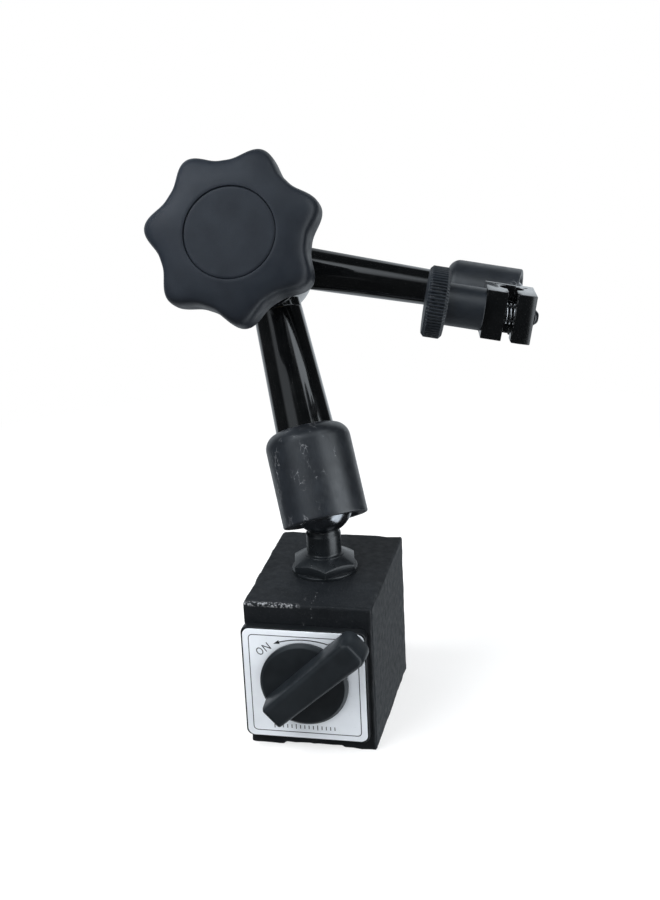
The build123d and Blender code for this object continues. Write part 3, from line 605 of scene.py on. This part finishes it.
def spline(points, steps=6):
    """A smooth curve through points."""
    out = []
    last = len(points) - 1
    for i in range(last):
        a, b, c, d = (Vector(points[max(0, min(last, i + k))]) for k in (-1, 0, 1, 2))
        for k in range(steps):
            t = k / steps
            square, cube = (2 * a - 5 * b + 4 * c - d) * t**2, (3 * b - a - 3 * c + d) * t**3
            out.append(0.5 * (2 * b + (c - a) * t + square + cube))
    out.append(Vector(points[-1]))
    return out


def rotated(home, degrees):
    return home @ Matrix.Rotation(math.radians(degrees), 4, "Z")


def shifted(home, x, y, z=0.0):
    return home @ Matrix.Translation(Vector((x, y, z)) * MM)


# --- Front cover, label and print ---
cover_low, cover_high = extent("front_cover", SWITCH)
label_low, label_high = extent("switch_label", SWITCH)
screw_low, screw_high = extent("cover_screws", SWITCH)
SCREW_HEAD = 2.8
screw_x = screw_high.x - SCREW_HEAD
screw_ys = (screw_low.y + SCREW_HEAD, screw_high.y - SCREW_HEAD)
screw_places = [(x, y) for x in (-screw_x, screw_x) for y in screw_ys]
PLATE_CORNER = 2.5
SHAFT_HOLE, LABEL_HOLE = 5.3, 14.5


def plate(name, low, high, edge):
    """A plate across the switch's axis, with round corners and bevelled edges."""
    x, y = (low.x + high.x) / 2, (low.y + high.y) / 2
    outline = rounded_box_outline(high.x - low.x, high.y - low.y, PLATE_CORNER, x, y)
    return bevel(prism(name, SWITCH, outline, low.z, high.z), edge)


def front_cover():
    piece = plate("cover", cover_low, cover_high, 0.5)
    below, face, above = cover_low.z - 1, cover_high.z, cover_high.z + 1
    bore(piece, SWITCH, SHAFT_HOLE, below, above)
    hole, mouth, sink = 1.7, 3.1, 1.4
    profile = [(0, below), (hole, below), (hole, face - sink), (mouth, face), (mouth, above), (0, above)]
    for x, y in screw_places:
        combine(piece, lathe("cutter", shifted(SWITCH, x, y), profile, 32))
    fit(piece, "base", "cover_plastic", "front_cover")


def label():
    piece = plate("label", label_low, label_high, 0.1)
    bore(piece, SWITCH, LABEL_HOLE, label_low.z - 1, label_high.z + 1, 96)
    fit(piece, "base", "label", "switch_label")


PRINT_LOW, PRINT_HIGH = label_high.z - 0.02, label_high.z + 0.03
LETTER, STROKE = 2.9, 0.34  # a letter's height and the width of its strokes
LETTER_HALF = 0.40 * LETTER


def printed(piece):
    fit(piece, "base", "label", look="print")


def strokes(name, home, bars, width=STROKE):
    """Flat straight strokes, each (x0, y0, x1, y1), as one print."""
    bm = bmesh.new()
    for x0, y0, x1, y1 in bars:
        start, end = Vector((x0, y0)), Vector((x1, y1))
        along = Vector((x1 - x0, y1 - y0)).normalized()
        side = Vector((-along.y, along.x)) * width / 2
        corners = [start + side, start - side, end - side, end + side]
        skin(bm, [(corners, PRINT_LOW), (corners, PRINT_HIGH)])
    printed(from_bmesh(name, bm, home))


def letter_o(name, home, x):
    angles = [2 * math.pi * k / 40 for k in range(40)]
    outer, inner = [
        [(x + (LETTER_HALF - cut) * math.cos(a), (LETTER / 2 - cut) * math.sin(a)) for a in angles]
        for cut in (0, STROKE)
    ]
    printed(band(name, home, outer, inner, PRINT_LOW, PRINT_HIGH))


def word_at(angle, tilt, radius):
    """A frame for a word centred at a polar place on the label, tilted in degrees."""
    x, y = radius * math.cos(math.radians(angle)), radius * math.sin(math.radians(angle))
    return rotated(shifted(SWITCH, x, y), tilt)


def print_frame():
    """A thin line round the label."""
    middle, size = (label_low + label_high) / 2, label_high - label_low
    inset, line, corner = 2.0, 0.28, 1.6

    def outline(cut):
        smaller = 2 * (inset + cut)
        return rounded_box_outline(size.x - smaller, size.y - smaller, corner - cut, middle.x, middle.y)

    outer, inner = outline(0), outline(line)
    printed(band("print_frame", SWITCH, outer, inner, PRINT_LOW, PRINT_HIGH))


def print_arrow():
    """A bow between the two switch positions, with a tip at each end."""
    radius, half, steps = 29.7, 0.2, 40
    first, last = 71.5, 108.5
    bow = shifted(SWITCH, 0.3, 16.4 - radius)

    def at(r, degrees):
        return r * math.cos(math.radians(degrees)), r * math.sin(math.radians(degrees))

    turns = [first + (last - first) * k / steps for k in range(steps + 1)]
    outline = [at(radius + half, turn) for turn in turns]
    outline += [at(radius - half, turn) for turn in reversed(turns)]
    printed(prism("print_arrow", bow, outline, PRINT_LOW, PRINT_HIGH))
    wide, ahead, behind = 0.75, 2.6, 1.6
    for name, end, way in (("print_arrow_tip_a", first, -1), ("print_arrow_tip_b", last, 1)):
        root = end - way * behind
        points = [at(radius, end + way * ahead), at(radius + wide, root), at(radius - wide, root)]
        printed(prism(name, bow, points, PRINT_LOW, PRINT_HIGH))


def print_words():
    """ON at one end of the arrow and OFF at the other."""
    low, high, edge = -LETTER / 2, LETTER / 2, STROKE / 2
    on = word_at(139.5, 36.0, 18.6)
    letter_o("print_on_o", on, -1.5)
    left, right = 1.5 - LETTER_HALF + edge, 1.5 + LETTER_HALF - edge
    strokes("print_on_n", on, [
        (left, low, left, high), (right, low, right, high), (left, high - 0.1, right, low + 0.1),
    ])
    off = word_at(41.5, -38.0, 18.8)
    letter_o("print_off_o", off, -2.7)
    bars = []
    for x in (-0.9, 1.5):
        bars += [(x, low, x, high), (x, high - edge, x + 1.7, high - edge), (x, 0.1, x + 1.4, 0.1)]
    strokes("print_off_f", off, bars)


def print_ticks():
    """A row of plain ticks below the disc, every fifth one taller."""
    row, count, reach, centre = -17.6, 15, 10.7, -0.9
    ticks = []
    for k in range(count):
        x = centre - reach + 2 * reach * k / (count - 1)
        tall = 0.95 if k % 5 == 0 else 0.7
        ticks.append((x, row - tall, x, row + tall))
    strokes("print_ticks", SWITCH, ticks, 0.3)


# --- Switch lever ---
def lever():
    low, high = extent("switch_lever", SWITCH)
    radius, hole, thick = 15.5, 5.0, 2.2
    back, face = low.z, low.z + thick
    profile = soften([
        (hole, back), (radius, back, 0.3), (radius, face - 0.9, 0.3), (radius - 1.1, face, 0.5), (hole, face),
    ])
    disc = lathe("lever", SWITCH, profile, 160)
    home = SWITCH @ Matrix.Rotation(fold_angle("switch_lever", SWITCH), 4, "Z")
    tip, tail, half, taper = extent("switch_lever", home)[1].x, -14.5, 5.8, 0.8

    def outline(inset):
        w = half - inset
        tip_corner, tail_corner = max(0.8, 3.4 - inset), max(0.4, 1.6 - inset)
        return soften([
            (tip - inset, -w, tip_corner), (tip - inset, w, tip_corner),
            (tail + inset, w - taper, tail_corner), (tail + inset, taper - w, tail_corner),
        ], 7)

    sides = (
        (0.0, face - 0.6), (0.0, face + 1.0), (0.35, high.z - 2.2), (0.75, high.z - 0.9),
        (0.95, high.z - 0.6), (1.5, high.z - 0.2), (2.2, high.z - 0.04), (2.8, high.z),
    )
    combine(disc, loft("grip", home, [(outline(inset), height) for inset, height in sides]), "UNION")
    fit(disc, "switch", "lever_plastic", "switch_lever", angle=24)


# --- Lower stud and the balls ---
def washer():
    low, high = extent("stud_washer", STUD)
    hole, rim = 5.2, high.x
    profile = soften([(hole, low.z), (rim, low.z, 0.1), (rim, high.z, 0.35), (hole, high.z)])
    fit(lathe("washer", STUD, profile, 128), "base", "black_oxide", "stud_washer")


def stud():
    """The hexagon under a 30 degree cone, joined to the turned neck and shanks."""
    low, high = extent("ball_stud", STUD)
    base = extent("stud_washer", STUD)[1].z
    flats, hex_height, cone = 21, 5.4, 7.0
    corner, top = flats / math.sqrt(3), base + hex_height
    turn = fold_angle("ball_stud", STUD, 6, 0.995)
    angles = [turn + k * math.pi / 3 for k in range(6)]
    piece = prism("stud", STUD, [(corner * math.cos(a), corner * math.sin(a)) for a in angles], base, top)
    outside = corner + 1
    slope = (outside - cone) / math.sqrt(3)
    profile = [(0, base - 1), (outside, base - 1), (outside, top - slope), (cone, top), (0, top)]
    combine(piece, lathe("cone", STUD, profile, 192), "INTERSECT")
    bevel(piece, 0.22, 2, 20)
    shank, neck, groove, tip = 5, 6.15, 5.4, 4
    seat = extent("lower_ball", STUD)[0].z - 0.05
    profile = soften([
        (0, low.z), (shank - 0.4, low.z), (shank, low.z + 0.5), (shank, base + 1), (neck, base + 1),
        (7.4, top - 0.1, 0.5), (neck, top + 0.5, 0.8), (neck, 69.0, 0.3), (groove + 0.1, 69.9, 0.2),
        (groove, seat), (tip, seat), (tip, high.z, 0.4), (0, high.z),
    ])
    combine(piece, lathe("neck", STUD, profile, 96), "UNION")
    fit(piece, "base", "black_oxide", "ball_stud", angle=22)


def ball(name, home, radius, seat, hole, depth, body, node):
    """A ball with a flat seat and a blind bore for its stud, both on the -Z side."""
    start = math.degrees(math.asin(seat / radius))
    points = arc((0, 0), radius, start, 90, 48)
    points[-1] = (0, radius, 0)
    profile = [(hole, seat)] + points + [(0, depth), (hole, depth)]
    fit(lathe(name, home, profile, 96), body, "ball_steel", node)


def lower_pivot_ball():
    seat = (extent("lower_ball", STUD)[0].z * MM - lower_centre.z) / MM
    home = Matrix.Translation(lower_centre)
    radius, hole, depth = 11.0, 4.05, 3.5
    ball("lower_pivot_ball", home, radius, seat, hole, depth, "lower_swivel", "lower_ball")


# --- Links ---
def cup(name, home, radii, heights, rounding, body, node, slot=None):
    """A turned cup: its open rim towards the ball, its shoulder rounded down to the tube.

    radii is (outside, hollow, mouth, tube) and heights is (rim, step, seat, end) along the link.
    """
    outside, hollow, mouth, tube_radius = radii
    rim, step, seat, end = heights
    way = 1 if end > rim else -1
    profile = soften([(mouth, rim, 0.15), (outside, rim, 0.6), (outside, rim + way * 1.5)], closed=False)
    for degrees in range(0, 81, 8):
        a = math.radians(degrees)
        radius = outside - rounding + rounding * math.cos(a)
        profile.append((radius, end - way * (rounding * (1 - math.sin(a)))))
    profile += [(tube_radius, end), (tube_radius, seat), (hollow, seat), (hollow, step), (mouth, step)]
    piece = lathe(name, home, profile, 160)
    if slot:
        slot(piece)
    fit(piece, body, "satin_black", node, angle=30)


def cup_ring(name, home, ball_radius, mouth, rim, step, body, node, slot=None):
    """The ring pressed into a cup's mouth, its inside ground to the ball."""
    way = 1 if step > rim else -1
    lip = rim + way * 1.6
    heights = [step + (lip - step) * k / 8 for k in range(9)]
    ground = [(math.sqrt(ball_radius**2 - height**2), height) for height in heights]
    piece = lathe(name, home, [(mouth - 0.75, rim), (mouth, rim), (mouth, step)] + ground, 128)
    if slot:
        slot(piece)
    fit(piece, body, "satin_black", node)


def tube(name, home, profile, body, node):
    fit(lathe(name, home, soften(profile), 160), body, "gloss_black", node, angle=30)


PLUG_RADIUS, PLUG_LENGTH = 7, 8  # the end of the lower eye inside its tube
rod_hole = extent("lower_rod", LOWER)[1].x + 0.05
lower_tube_low, lower_tube_high = extent("lower_tube", LOWER)
plug_end = lower_tube_high.z - PLUG_LENGTH
lower_knuckle = extent("lower_eye", ELBOW)[1]
small_end = lower_knuckle.z


def lower_link():
    cup_low, cup_high = extent("lower_cup", LOWER)
    ring = extent("lower_cup_ring", LOWER)[1]
    large_end = lower_tube_high.x
    hollow, ring_ball, rounding = 11.4, 11.05, 5.7
    radii = (cup_high.x, hollow, ring.x, large_end)
    heights = (cup_low.z, ring.z, lower_tube_low.z, cup_high.z)
    cup("lower_cup_shell", LOWER, radii, heights, rounding, "lower_arm", "lower_cup")
    cup_ring("lower_ring", LOWER, ring_ball, ring.x, cup_low.z, ring.z, "lower_arm", "lower_cup_ring")
    tube("lower_link_tube", LOWER, [
        (rod_hole, lower_tube_low.z), (large_end, lower_tube_low.z), (large_end, cup_high.z),
        (small_end, lower_tube_high.z, 0.3), (PLUG_RADIUS, lower_tube_high.z), (PLUG_RADIUS, plug_end),
        (rod_hole, plug_end),
    ], "lower_arm", "lower_tube")


def lower_eye():
    radius, top = lower_knuckle.y, lower_tube_high.z
    drum = soften([(0, -small_end), (radius, -small_end, 1.2), (radius, small_end, 0.6), (0, small_end)])
    piece = lathe("lower_knuckle", ELBOW, drum, 128)
    length = (elbow_centre - lower_centre).length / MM
    neck, inside_drum = small_end - 0.05, length - 8
    profile = soften([
        (0, plug_end), (PLUG_RADIUS, plug_end), (PLUG_RADIUS, top), (neck, top, 0.2),
        (neck, inside_drum), (0, inside_drum),
    ])
    combine(piece, lathe("neck", LOWER, profile, 128), "UNION")
    wedge_hole, bolt_hole, floor_height = 6.4, 3.0, -7
    bore(piece, ELBOW, wedge_hole, floor_height, small_end + 1)
    bore(piece, ELBOW, bolt_hole, -small_end - 1, floor_height + 1)
    bore(piece, LOWER, rod_hole, plug_end - 1, length)
    fit(piece, "lower_arm", "gloss_black", "lower_eye")


def elbow_bolt():
    low, high = extent("elbow_bolt", ELBOW)
    head, shank = high.y, 3
    profile = soften([
        (0, low.z), (head - 0.4, low.z, 0.5), (head, -small_end - 1, 0.6), (head, -small_end, 0.2),
        (shank, -small_end), (shank, high.z - 1), (shank - 1, high.z), (0, high.z),
    ])
    fit(lathe("elbow_pin", ELBOW, profile, 96), "lower_arm", "black_oxide", "elbow_bolt")


def upper_slot(piece):
    """Cuts the slot through which the upper ball's stud swings."""
    reach = extent("head_stud", HEAD)[1].x + 0.4
    side = stud_axis - stud_axis.dot(upper_axis) * upper_axis
    home = place(upper_centre, upper_axis, side)
    outside = extent("upper_cup", UPPER)[1].z + 3
    angles = [math.pi * k / 24 for k in range(1, 24)]
    outline = [(outside, reach), (0, reach)]
    outline += [(-reach * math.sin(a), reach * math.cos(a)) for a in angles]
    outline += [(0, -reach), (outside, -reach)]
    combine(piece, prism("cutter", home, outline, 0, 16))


UPPER_ROD_HOLE, UPPER_PLUG, UPPER_PLUG_LENGTH = 3.45, 5.2, 8
upper_tube_low, upper_tube_high = extent("upper_tube", UPPER)
upper_eye_low, upper_eye_high = extent("upper_eye", ELBOW)
upper_large_end = (upper_eye_high.z - upper_eye_low.z) / 2
upper_plug_end = upper_tube_low.z + UPPER_PLUG_LENGTH


def upper_link():
    cup_low, cup_high = extent("upper_cup", UPPER)
    step = extent("upper_cup_ring", UPPER)[0].z
    outside, hollow, mouth, small = 10.8, 8.4, 9.6, 5.95
    ring_ball, rounding = 8.05, 4.0
    radii = (outside, hollow, mouth, small)
    heights = (cup_high.z, step, upper_tube_high.z, cup_low.z)
    cup("upper_cup_shell", UPPER, radii, heights, rounding, "upper_arm", "upper_cup", upper_slot)
    cup_ring(
        "upper_ring", UPPER, ring_ball, mouth, cup_high.z, step, "upper_arm", "upper_cup_ring", upper_slot
    )
    tube("upper_link_tube", UPPER, [
        (UPPER_PLUG, upper_tube_low.z), (upper_large_end, upper_tube_low.z, 0.3), (small, cup_low.z),
        (small, upper_tube_high.z), (UPPER_ROD_HOLE, upper_tube_high.z), (UPPER_ROD_HOLE, upper_plug_end),
        (UPPER_PLUG, upper_plug_end),
    ], "upper_arm", "upper_tube")


def upper_eye():
    low, high, tube_end = upper_eye_low.z, upper_eye_high.z, upper_tube_low.z
    radius, sleeve_hole = 13.5, 8.8
    drum = soften([(0, low), (radius, low, 0.6), (radius, high, 0.6), (0, high)])
    piece = lathe("upper_knuckle", ELBOW, drum, 128)
    length = (upper_centre - elbow_centre).dot(upper_axis) / MM
    neck, inside_drum = upper_large_end - 0.05, 7 - length
    profile = soften([
        (0, inside_drum), (neck, inside_drum), (neck, tube_end, 0.2), (UPPER_PLUG, tube_end),
        (UPPER_PLUG, upper_plug_end), (0, upper_plug_end),
    ])
    combine(piece, lathe("neck", UPPER, profile, 128), "UNION")
    bore(piece, ELBOW, sleeve_hole, low - 1, high + 1)
    bore(piece, UPPER, UPPER_ROD_HOLE, -length, upper_plug_end + 1)
    fit(piece, "upper_arm", "gloss_black", "upper_eye")


# --- Knob ---
LOBES = 7
CAP_SEAT = 15.15


def knob():
    low, high = extent("star_knob", ELBOW)
    lobe = fold_angle("star_knob", ELBOW, LOBES, 0.99)
    front, back = high.z, 50.0
    peak, valley = 29.7, 24.87
    foot, insert_hole, insert_deep, insert_end = 12, 7, 6, 36

    def star(radius, height, angle):
        if radius <= CAP_SEAT + 0.2 or height < back - 1:
            return radius
        wave = (0.5 + 0.5 * math.cos(LOBES * (angle - lobe))) ** 1.4
        share = ((radius - CAP_SEAT) / (peak - CAP_SEAT)) ** 2
        return radius - (peak - valley) * (1 - wave) * min(1.0, share)

    stem = [
        (insert_hole, low.z), (foot - 0.3, low.z), (foot, low.z + 0.3), (12.5, low.z + 4), (14.2, back - 6),
        (15.3, back - 2.4), (16.6, back - 0.7),
    ]
    dome = spline([
        (18.5, back), (22, back - 0.02), (26, back + 0.15), (28.4, back + 1.0), (29.45, back + 2.7),
        (peak, back + 5.5), (peak, back + 8.5), (29.6, back + 10.6), (29.2, back + 12.2), (28.2, front - 3.0),
        (26.6, front - 2.1), (24, front - 1.4), (20, front - 0.6), (CAP_SEAT + 0.6, front - 0.08),
    ], 4)
    recess = [
        (CAP_SEAT + 0.2, front - 0.16), (CAP_SEAT + 0.04, front - 0.42), (CAP_SEAT, front - 0.7),
        (CAP_SEAT, front - 2), (0, front - 2),
    ]
    hollow = [(0, back + 1), (insert_deep, back + 1), (insert_deep, insert_end), (insert_hole, insert_end)]
    piece = lathe("knob", ELBOW, stem + [(p.x, p.y) for p in dome] + recess + hollow, 336, star)
    fit(piece, "knob", "knob_plastic", "star_knob", angle=38)


def knob_cap():
    low, high = extent("knob_cap", ELBOW)
    radius, face = high.x, high.z - 0.25
    rim = [
        (0, low.z), (radius, low.z), (radius, face - 0.5), (radius - 0.12, face - 0.2),
        (radius - 0.45, face - 0.02),
    ]
    crown = spline([(radius - 1, face), (10, face + 0.05), (5, face + 0.1), (0, face + 0.12)], 3)
    piece = lathe("knob_disc", ELBOW, rim + [(p.x, p.y) for p in crown], 128)
    fit(piece, "knob", "knob_plastic", "knob_cap", angle=38)


# --- Clamp ---
ACROSS = Matrix(((1, 0, 0, 0), (0, 0, -1, 0), (0, 1, 0, 0), (0, 0, 0, 1)))  # outline's y along the stud
POCKET_RADIUS, POCKET_DEPTH = 3.45, 4.0  # the hollow in each jaw for the spring
STEM_RADIUS = 4.0
stem_height = (HEAD.inverted() @ Vector(MOUNTS["stem_clamp"]["pos_m"])).z / MM


def upright(x, z):
    """A frame in the clamp with its Z along the stem that the clamp holds."""
    return HEAD @ Matrix.Translation((x * MM, 0, z * MM)) @ Matrix.Rotation(math.radians(-90), 4, "X")


def jaw(name, outline, side, body, node):
    low, high = extent(node, HEAD)
    piece = prism(name, HEAD, outline, low.y, high.y, ACROSS)
    bevel(piece, 0.3, 3, 30)
    bore(piece, upright(0, stem_height), STEM_RADIUS, low.y - 1, high.y + 1, 96)
    fixed = side > 0
    screw_hole, reach = (2.5, (0, high.x + 1)) if fixed else (2.55, (low.x - 1, 0))
    bore(piece, SCREW, screw_hole, *reach)
    pocket = (0, POCKET_DEPTH) if fixed else (-POCKET_DEPTH, 0)
    bore(piece, SCREW, POCKET_RADIUS, *pocket)
    bore(piece, upright(side * 4.7, stem_height - 4), 0.8, high.y - 3, high.y + 1, 32)
    if fixed:
        bore(piece, HEAD, 3.0, low.z - 1, low.z + 5)
    fit(piece, body, "gloss_black", node, look="jaw", angle=25)


def jaws():
    low, high = extent("fixed_jaw", HEAD)
    moving_low = extent("moving_jaw", HEAD)[0]
    gap, undercut, lip = 1.5, 1.1, 1.8
    plate_top = moving_low.z - 0.05
    lips = [(gap, high.z), (gap + undercut, high.z - lip), (gap, high.z - lip)]
    outline = lips + [
        (gap, plate_top), (low.x, plate_top), (low.x, low.z), (high.x, low.z), (high.x, high.z - 0.9),
        (high.x - 3.3, high.z),
    ]
    jaw("jaw_fixed", outline, 1, "head", "fixed_jaw")
    outline = [(-x, z) for x, z in lips]
    outline += [(-gap, moving_low.z), (moving_low.x, moving_low.z), (moving_low.x, high.z)]
    jaw("jaw_moving", outline, -1, "jaw", "moving_jaw")


def clamp_screw():
    low, high = extent("clamp_screw", SCREW)
    radius, pitch, depth, step = high.y, 0.8, 0.4, 0.1
    bare_end, first_turn = high.z - 1.3, low.z + 0.2

    def thread(r, height, angle):
        if height < first_turn:
            return min(r, radius - 0.4)
        if r < radius - 0.05 or height > bare_end:
            return r
        phase = (height / pitch - angle / (2 * math.pi)) % 1.0
        return r - depth * (1 - abs(2 * phase - 1))

    steps = round((high.z - 1.2 - low.z) / step)
    heights = [low.z + step * k for k in range(steps + 1)]
    profile = [(0, low.z)] + [(radius, height) for height in heights]
    profile += [(radius - 0.05, high.z - 1.1), (1.7, high.z - 0.25), (1.2, high.z), (0, high.z)]
    fit(lathe("screw", SCREW, profile, 48, thread), "head", "black_oxide", "clamp_screw")


def nut():
    low, high = extent("thumb_nut", SCREW)
    barrel, ring, barrel_end = 6.85, 11.5, -20.5
    hole, closed, edge = 2.55, low.z + 2, 1.0
    teeth, cut = 64, 0.62

    def knurl(radius, height, angle):
        if radius < ring - 1.2 or height > barrel_end + 0.01:
            return radius
        groove = (0.5 + 0.5 * math.cos(teeth * angle)) ** 2.5
        share = min(1.0, (radius - ring + 1.2) / 0.9)
        return radius - cut * groove * share

    profile = soften([
        (hole, high.z), (barrel, high.z, 0.3), (barrel, barrel_end, 0.4), (ring - edge, barrel_end, 0.2),
        (ring, barrel_end - 0.9, 0.2), (ring, low.z + 0.9, 0.2), (ring - edge, low.z, 0.2), (0, low.z),
        (0, closed), (hole, closed),
    ], 3)
    piece = lathe("nut", SCREW, profile, teeth * 8, knurl)
    fit(piece, "nut", "black_oxide", "thumb_nut", look="nut", angle=40)


def head_pin():
    """The stud from the upper ball to the clamp, and the ball itself."""
    low, high = extent("head_stud", HEAD)
    ball_radius, tip, plate_hole = 8.0, 2.4, 3
    shank, plate_back = high.x, extent("fixed_jaw", HEAD)[0].z
    seat = math.sqrt(ball_radius**2 - shank**2)
    profile = soften([
        (0, low.z), (tip, low.z, 0.3), (tip, seat + 0.05), (shank, seat + 0.05, 0.2), (shank, plate_back),
        (plate_hole, plate_back), (plate_hole, high.z), (0, high.z),
    ])
    fit(lathe("head_shank", HEAD, profile, 64), "head", "black_oxide", "head_stud")
    flipped = HEAD @ Matrix.Rotation(math.pi, 4, "X")
    ball("upper_pivot_ball", flipped, ball_radius, -seat, tip + 0.05, 3.0, "upper_swivel", "upper_ball")


# --- Rear plate ---
def rear_plate():
    low, high = extent("rear_plate", SWITCH)
    piece = plate("back_plate", low, high, 0.3)
    mouth, hole, sink, vent = 3, 1.5, 1.5, 1.0
    below, above = low.z - 1, high.z + 1
    profile = [(0, below), (mouth, below), (mouth, low.z), (hole, low.z + sink), (hole, above), (0, above)]
    for x, y in screw_places:
        combine(piece, lathe("cutter", shifted(SWITCH, x, y), profile, 32))
    bore(piece, SWITCH, vent, below, above, 32)
    fit(piece, "base", "cover_plastic", "rear_plate")


def rear_screws():
    """Four slotted countersunk screws, each stopped at its own angle, as one piece."""
    low, high = extent("rear_screws", SWITCH)
    head, shank, sink, half_slot = 2.75, 1.25, 1.5, 0.35
    profile = soften([(0, low.z), (head, low.z, 0.12), (shank, low.z + sink), (shank, high.z), (0, high.z)])
    slot = [(-3, -half_slot), (3, -half_slot), (3, half_slot), (-3, half_slot)]
    bm = bmesh.new()
    for index, (x, y) in enumerate(screw_places):
        home = rotated(shifted(SWITCH, x, y), 37 * index)
        screw = lathe("rear_screw", home, profile, 48)
        combine(screw, prism("slot", home, slot, low.z - 1, low.z + 0.8))
        screw.data.transform(SWITCH.inverted() @ screw.matrix_world)
        bm.from_mesh(screw.data)
        bpy.data.objects.remove(screw)
    fit(from_bmesh("rear_screw_set", bm, SWITCH), "base", "steel", "rear_screws")


for build in (
    front_cover, label, print_frame, print_arrow, print_words, print_ticks, lever, washer, stud,
    lower_pivot_ball, lower_link, lower_eye, elbow_bolt, upper_link, upper_eye, knob, knob_cap, jaws,
    clamp_screw, nut, head_pin, rear_plate, rear_screws,
):
    build()


# --- Floor, light and camera ---
CAMERA_AZIMUTH, CAMERA_ELEVATION, CAMERA_ROLL = 13.07, 21.67, -2.73  # azimuth from straight in front
CAMERA_PLACE, CAMERA_LENS = (0.13713, -0.57423, 0.33454), 73.47
ROOM_LEVEL, ROOM_COLOUR, UPRIGHT_SOFT = 0.03, (0.87, 0.94, 1.0, 1), 4.0
# Strips of light around the part: from and to in degrees right of the camera, the softness of those edges,
# lowest and highest elevation, and strength.
STRIPS = (
    (-66, -29, 4.0, 2, 60, 0.60),
    (38, 84, 3.0, -80, 60, 2.2),
    (-178, -130, 4.0, -80, 40, 0.55),
    (138, 176, 4.0, -80, 40, 0.80),
    (-90, -20, 10.0, 42, 74, 1.6),
    (-20, 60, 8.0, 52, 68, 0.9),
)


def camera_like_photo():
    azimuth, elevation, roll = [math.radians(a) for a in (CAMERA_AZIMUTH, CAMERA_ELEVATION, CAMERA_ROLL)]
    back = Vector((
        math.sin(azimuth) * math.cos(elevation), -math.cos(azimuth) * math.cos(elevation), math.sin(elevation)
    ))
    right = (-back).cross(Vector((0, 0, 1))).normalized()
    up = right.cross(-back)
    turned_right = math.cos(roll) * right + math.sin(roll) * up
    turned_up = math.cos(roll) * up - math.sin(roll) * right
    data = bpy.data.cameras.new("camera")
    data.lens, data.sensor_width = CAMERA_LENS, 36.0
    data.clip_start, data.clip_end = 0.01, 20.0
    basis = Matrix((turned_right, turned_up, back)).transposed().to_4x4()
    bpy.context.scene.camera = new_piece("camera", data, Matrix.Translation(CAMERA_PLACE) @ basis)


def floor_material():
    """White paper that keeps a faint shadow near the part and fades to plain white further out."""
    s = Shader("floor")
    grain = s.noise(3.0, 3.0)
    colour = s.mix(grain, (0.36, 0.36, 0.36), (0.38, 0.38, 0.38))
    paper = s.add("BsdfDiffuse", {"Color": colour, "Roughness": 0.5}).outputs[0]
    glow = s.add("Emission", {"Color": (1, 1, 1, 1), "Strength": 0.66}).outputs[0]
    near = s.add("AddShader", {0: paper, 1: glow}).outputs[0]
    far = s.add("Emission", {"Color": (1, 1, 1, 1), "Strength": 1.0}).outputs[0]
    distance = s.add("VectorMath", {0: s.coordinates}, operation="LENGTH").outputs["Value"]
    blend = s.between(distance, 0.12, 0.35)
    mixed = s.add("MixShader", {0: blend, 1: near, 2: far}).outputs[0]
    s.add("OutputMaterial", {0: mixed})
    return s.material


def floor():
    bm = bmesh.new()
    half, height = 6000, -0.05
    bm.faces.new(ring_at(bm, [(-half, -half), (half, -half), (half, half), (-half, half)], height))
    piece = from_bmesh("floor", bm, WORLD)
    piece.data.materials.append(floor_material())
    piece.visible_glossy = False


def area_light(name, centre, target, width, height, power):
    """A soft light that gives no mirror image of itself."""
    data = bpy.data.lights.new(name, "AREA")
    data.shape = "RECTANGLE"
    data.size, data.size_y = width, height
    data.energy = power
    direction = Vector(target) - Vector(centre)
    turned = direction.to_track_quat("-Z", "Y").to_matrix().to_4x4()
    light = new_piece(name, data, Matrix.Translation(centre) @ turned)
    light.visible_glossy = False
    light.visible_camera = False


def studio():
    """White to the camera; to everything else a dark room with tall soft strips of light."""
    world = bpy.data.worlds.new("studio")
    bpy.context.scene.world = world
    world.use_nodes = True
    sky = Nodes(world.node_tree)

    def window(value, low, high, soft):
        """1 between low and high, 0 outside, with soft edges."""
        rise = sky.between(value, low - soft, low + soft)
        fall = sky.between(value, high + soft, high - soft)
        return sky.times(rise, fall)

    direction = sky.add("TexCoord").outputs["Generated"]
    turn = {"Vector": direction, "Angle": math.radians(90 - CAMERA_AZIMUTH)}
    turned = sky.add("VectorRotate", turn, rotation_type="Z_AXIS").outputs[0]
    x, y, z = sky.add("SeparateXYZ", {0: turned}).outputs
    round_about = sky.math("DEGREES", sky.math("ARCTAN2", y, x))
    height = sky.math("DEGREES", sky.math("ARCSINE", z))
    total = ROOM_LEVEL
    for low, high, soft, bottom, top, power in STRIPS:
        upright = window(height, bottom, top, UPRIGHT_SOFT)
        strip = sky.times(sky.times(window(round_about, low, high, soft), upright), power)
        total = sky.math("ADD", strip, total)
    camera_ray = sky.add("LightPath").outputs["Is Camera Ray"]
    room = sky.add("Background", {"Color": ROOM_COLOUR, "Strength": total}).outputs[0]
    paper = sky.add("Background", {"Color": (1, 1, 1, 1), "Strength": 1.0}).outputs[0]
    mixed = sky.add("MixShader", {0: camera_ray, 1: room, 2: paper}).outputs[0]
    sky.add("OutputWorld", {0: mixed})

    middle = (0.0, 0.0, 0.11)
    area_light("key", (-0.45, -0.70, 0.80), middle, 0.5, 0.5, 7.0)
    area_light("side", (0.75, -0.35, 0.45), middle, 0.3, 0.7, 2.2)
    area_light("top", (-0.1, 0.0, 0.9), middle, 0.7, 0.7, 3.0)
    area_light("near", (-0.136, -0.060, 0.291), (-0.03, -0.016, 0.18), 0.06, 0.06, 0.55)
    scene = bpy.context.scene
    scene.view_settings.view_transform = "Standard"
    scene.view_settings.look = "None"


camera_like_photo()
floor()
studio()
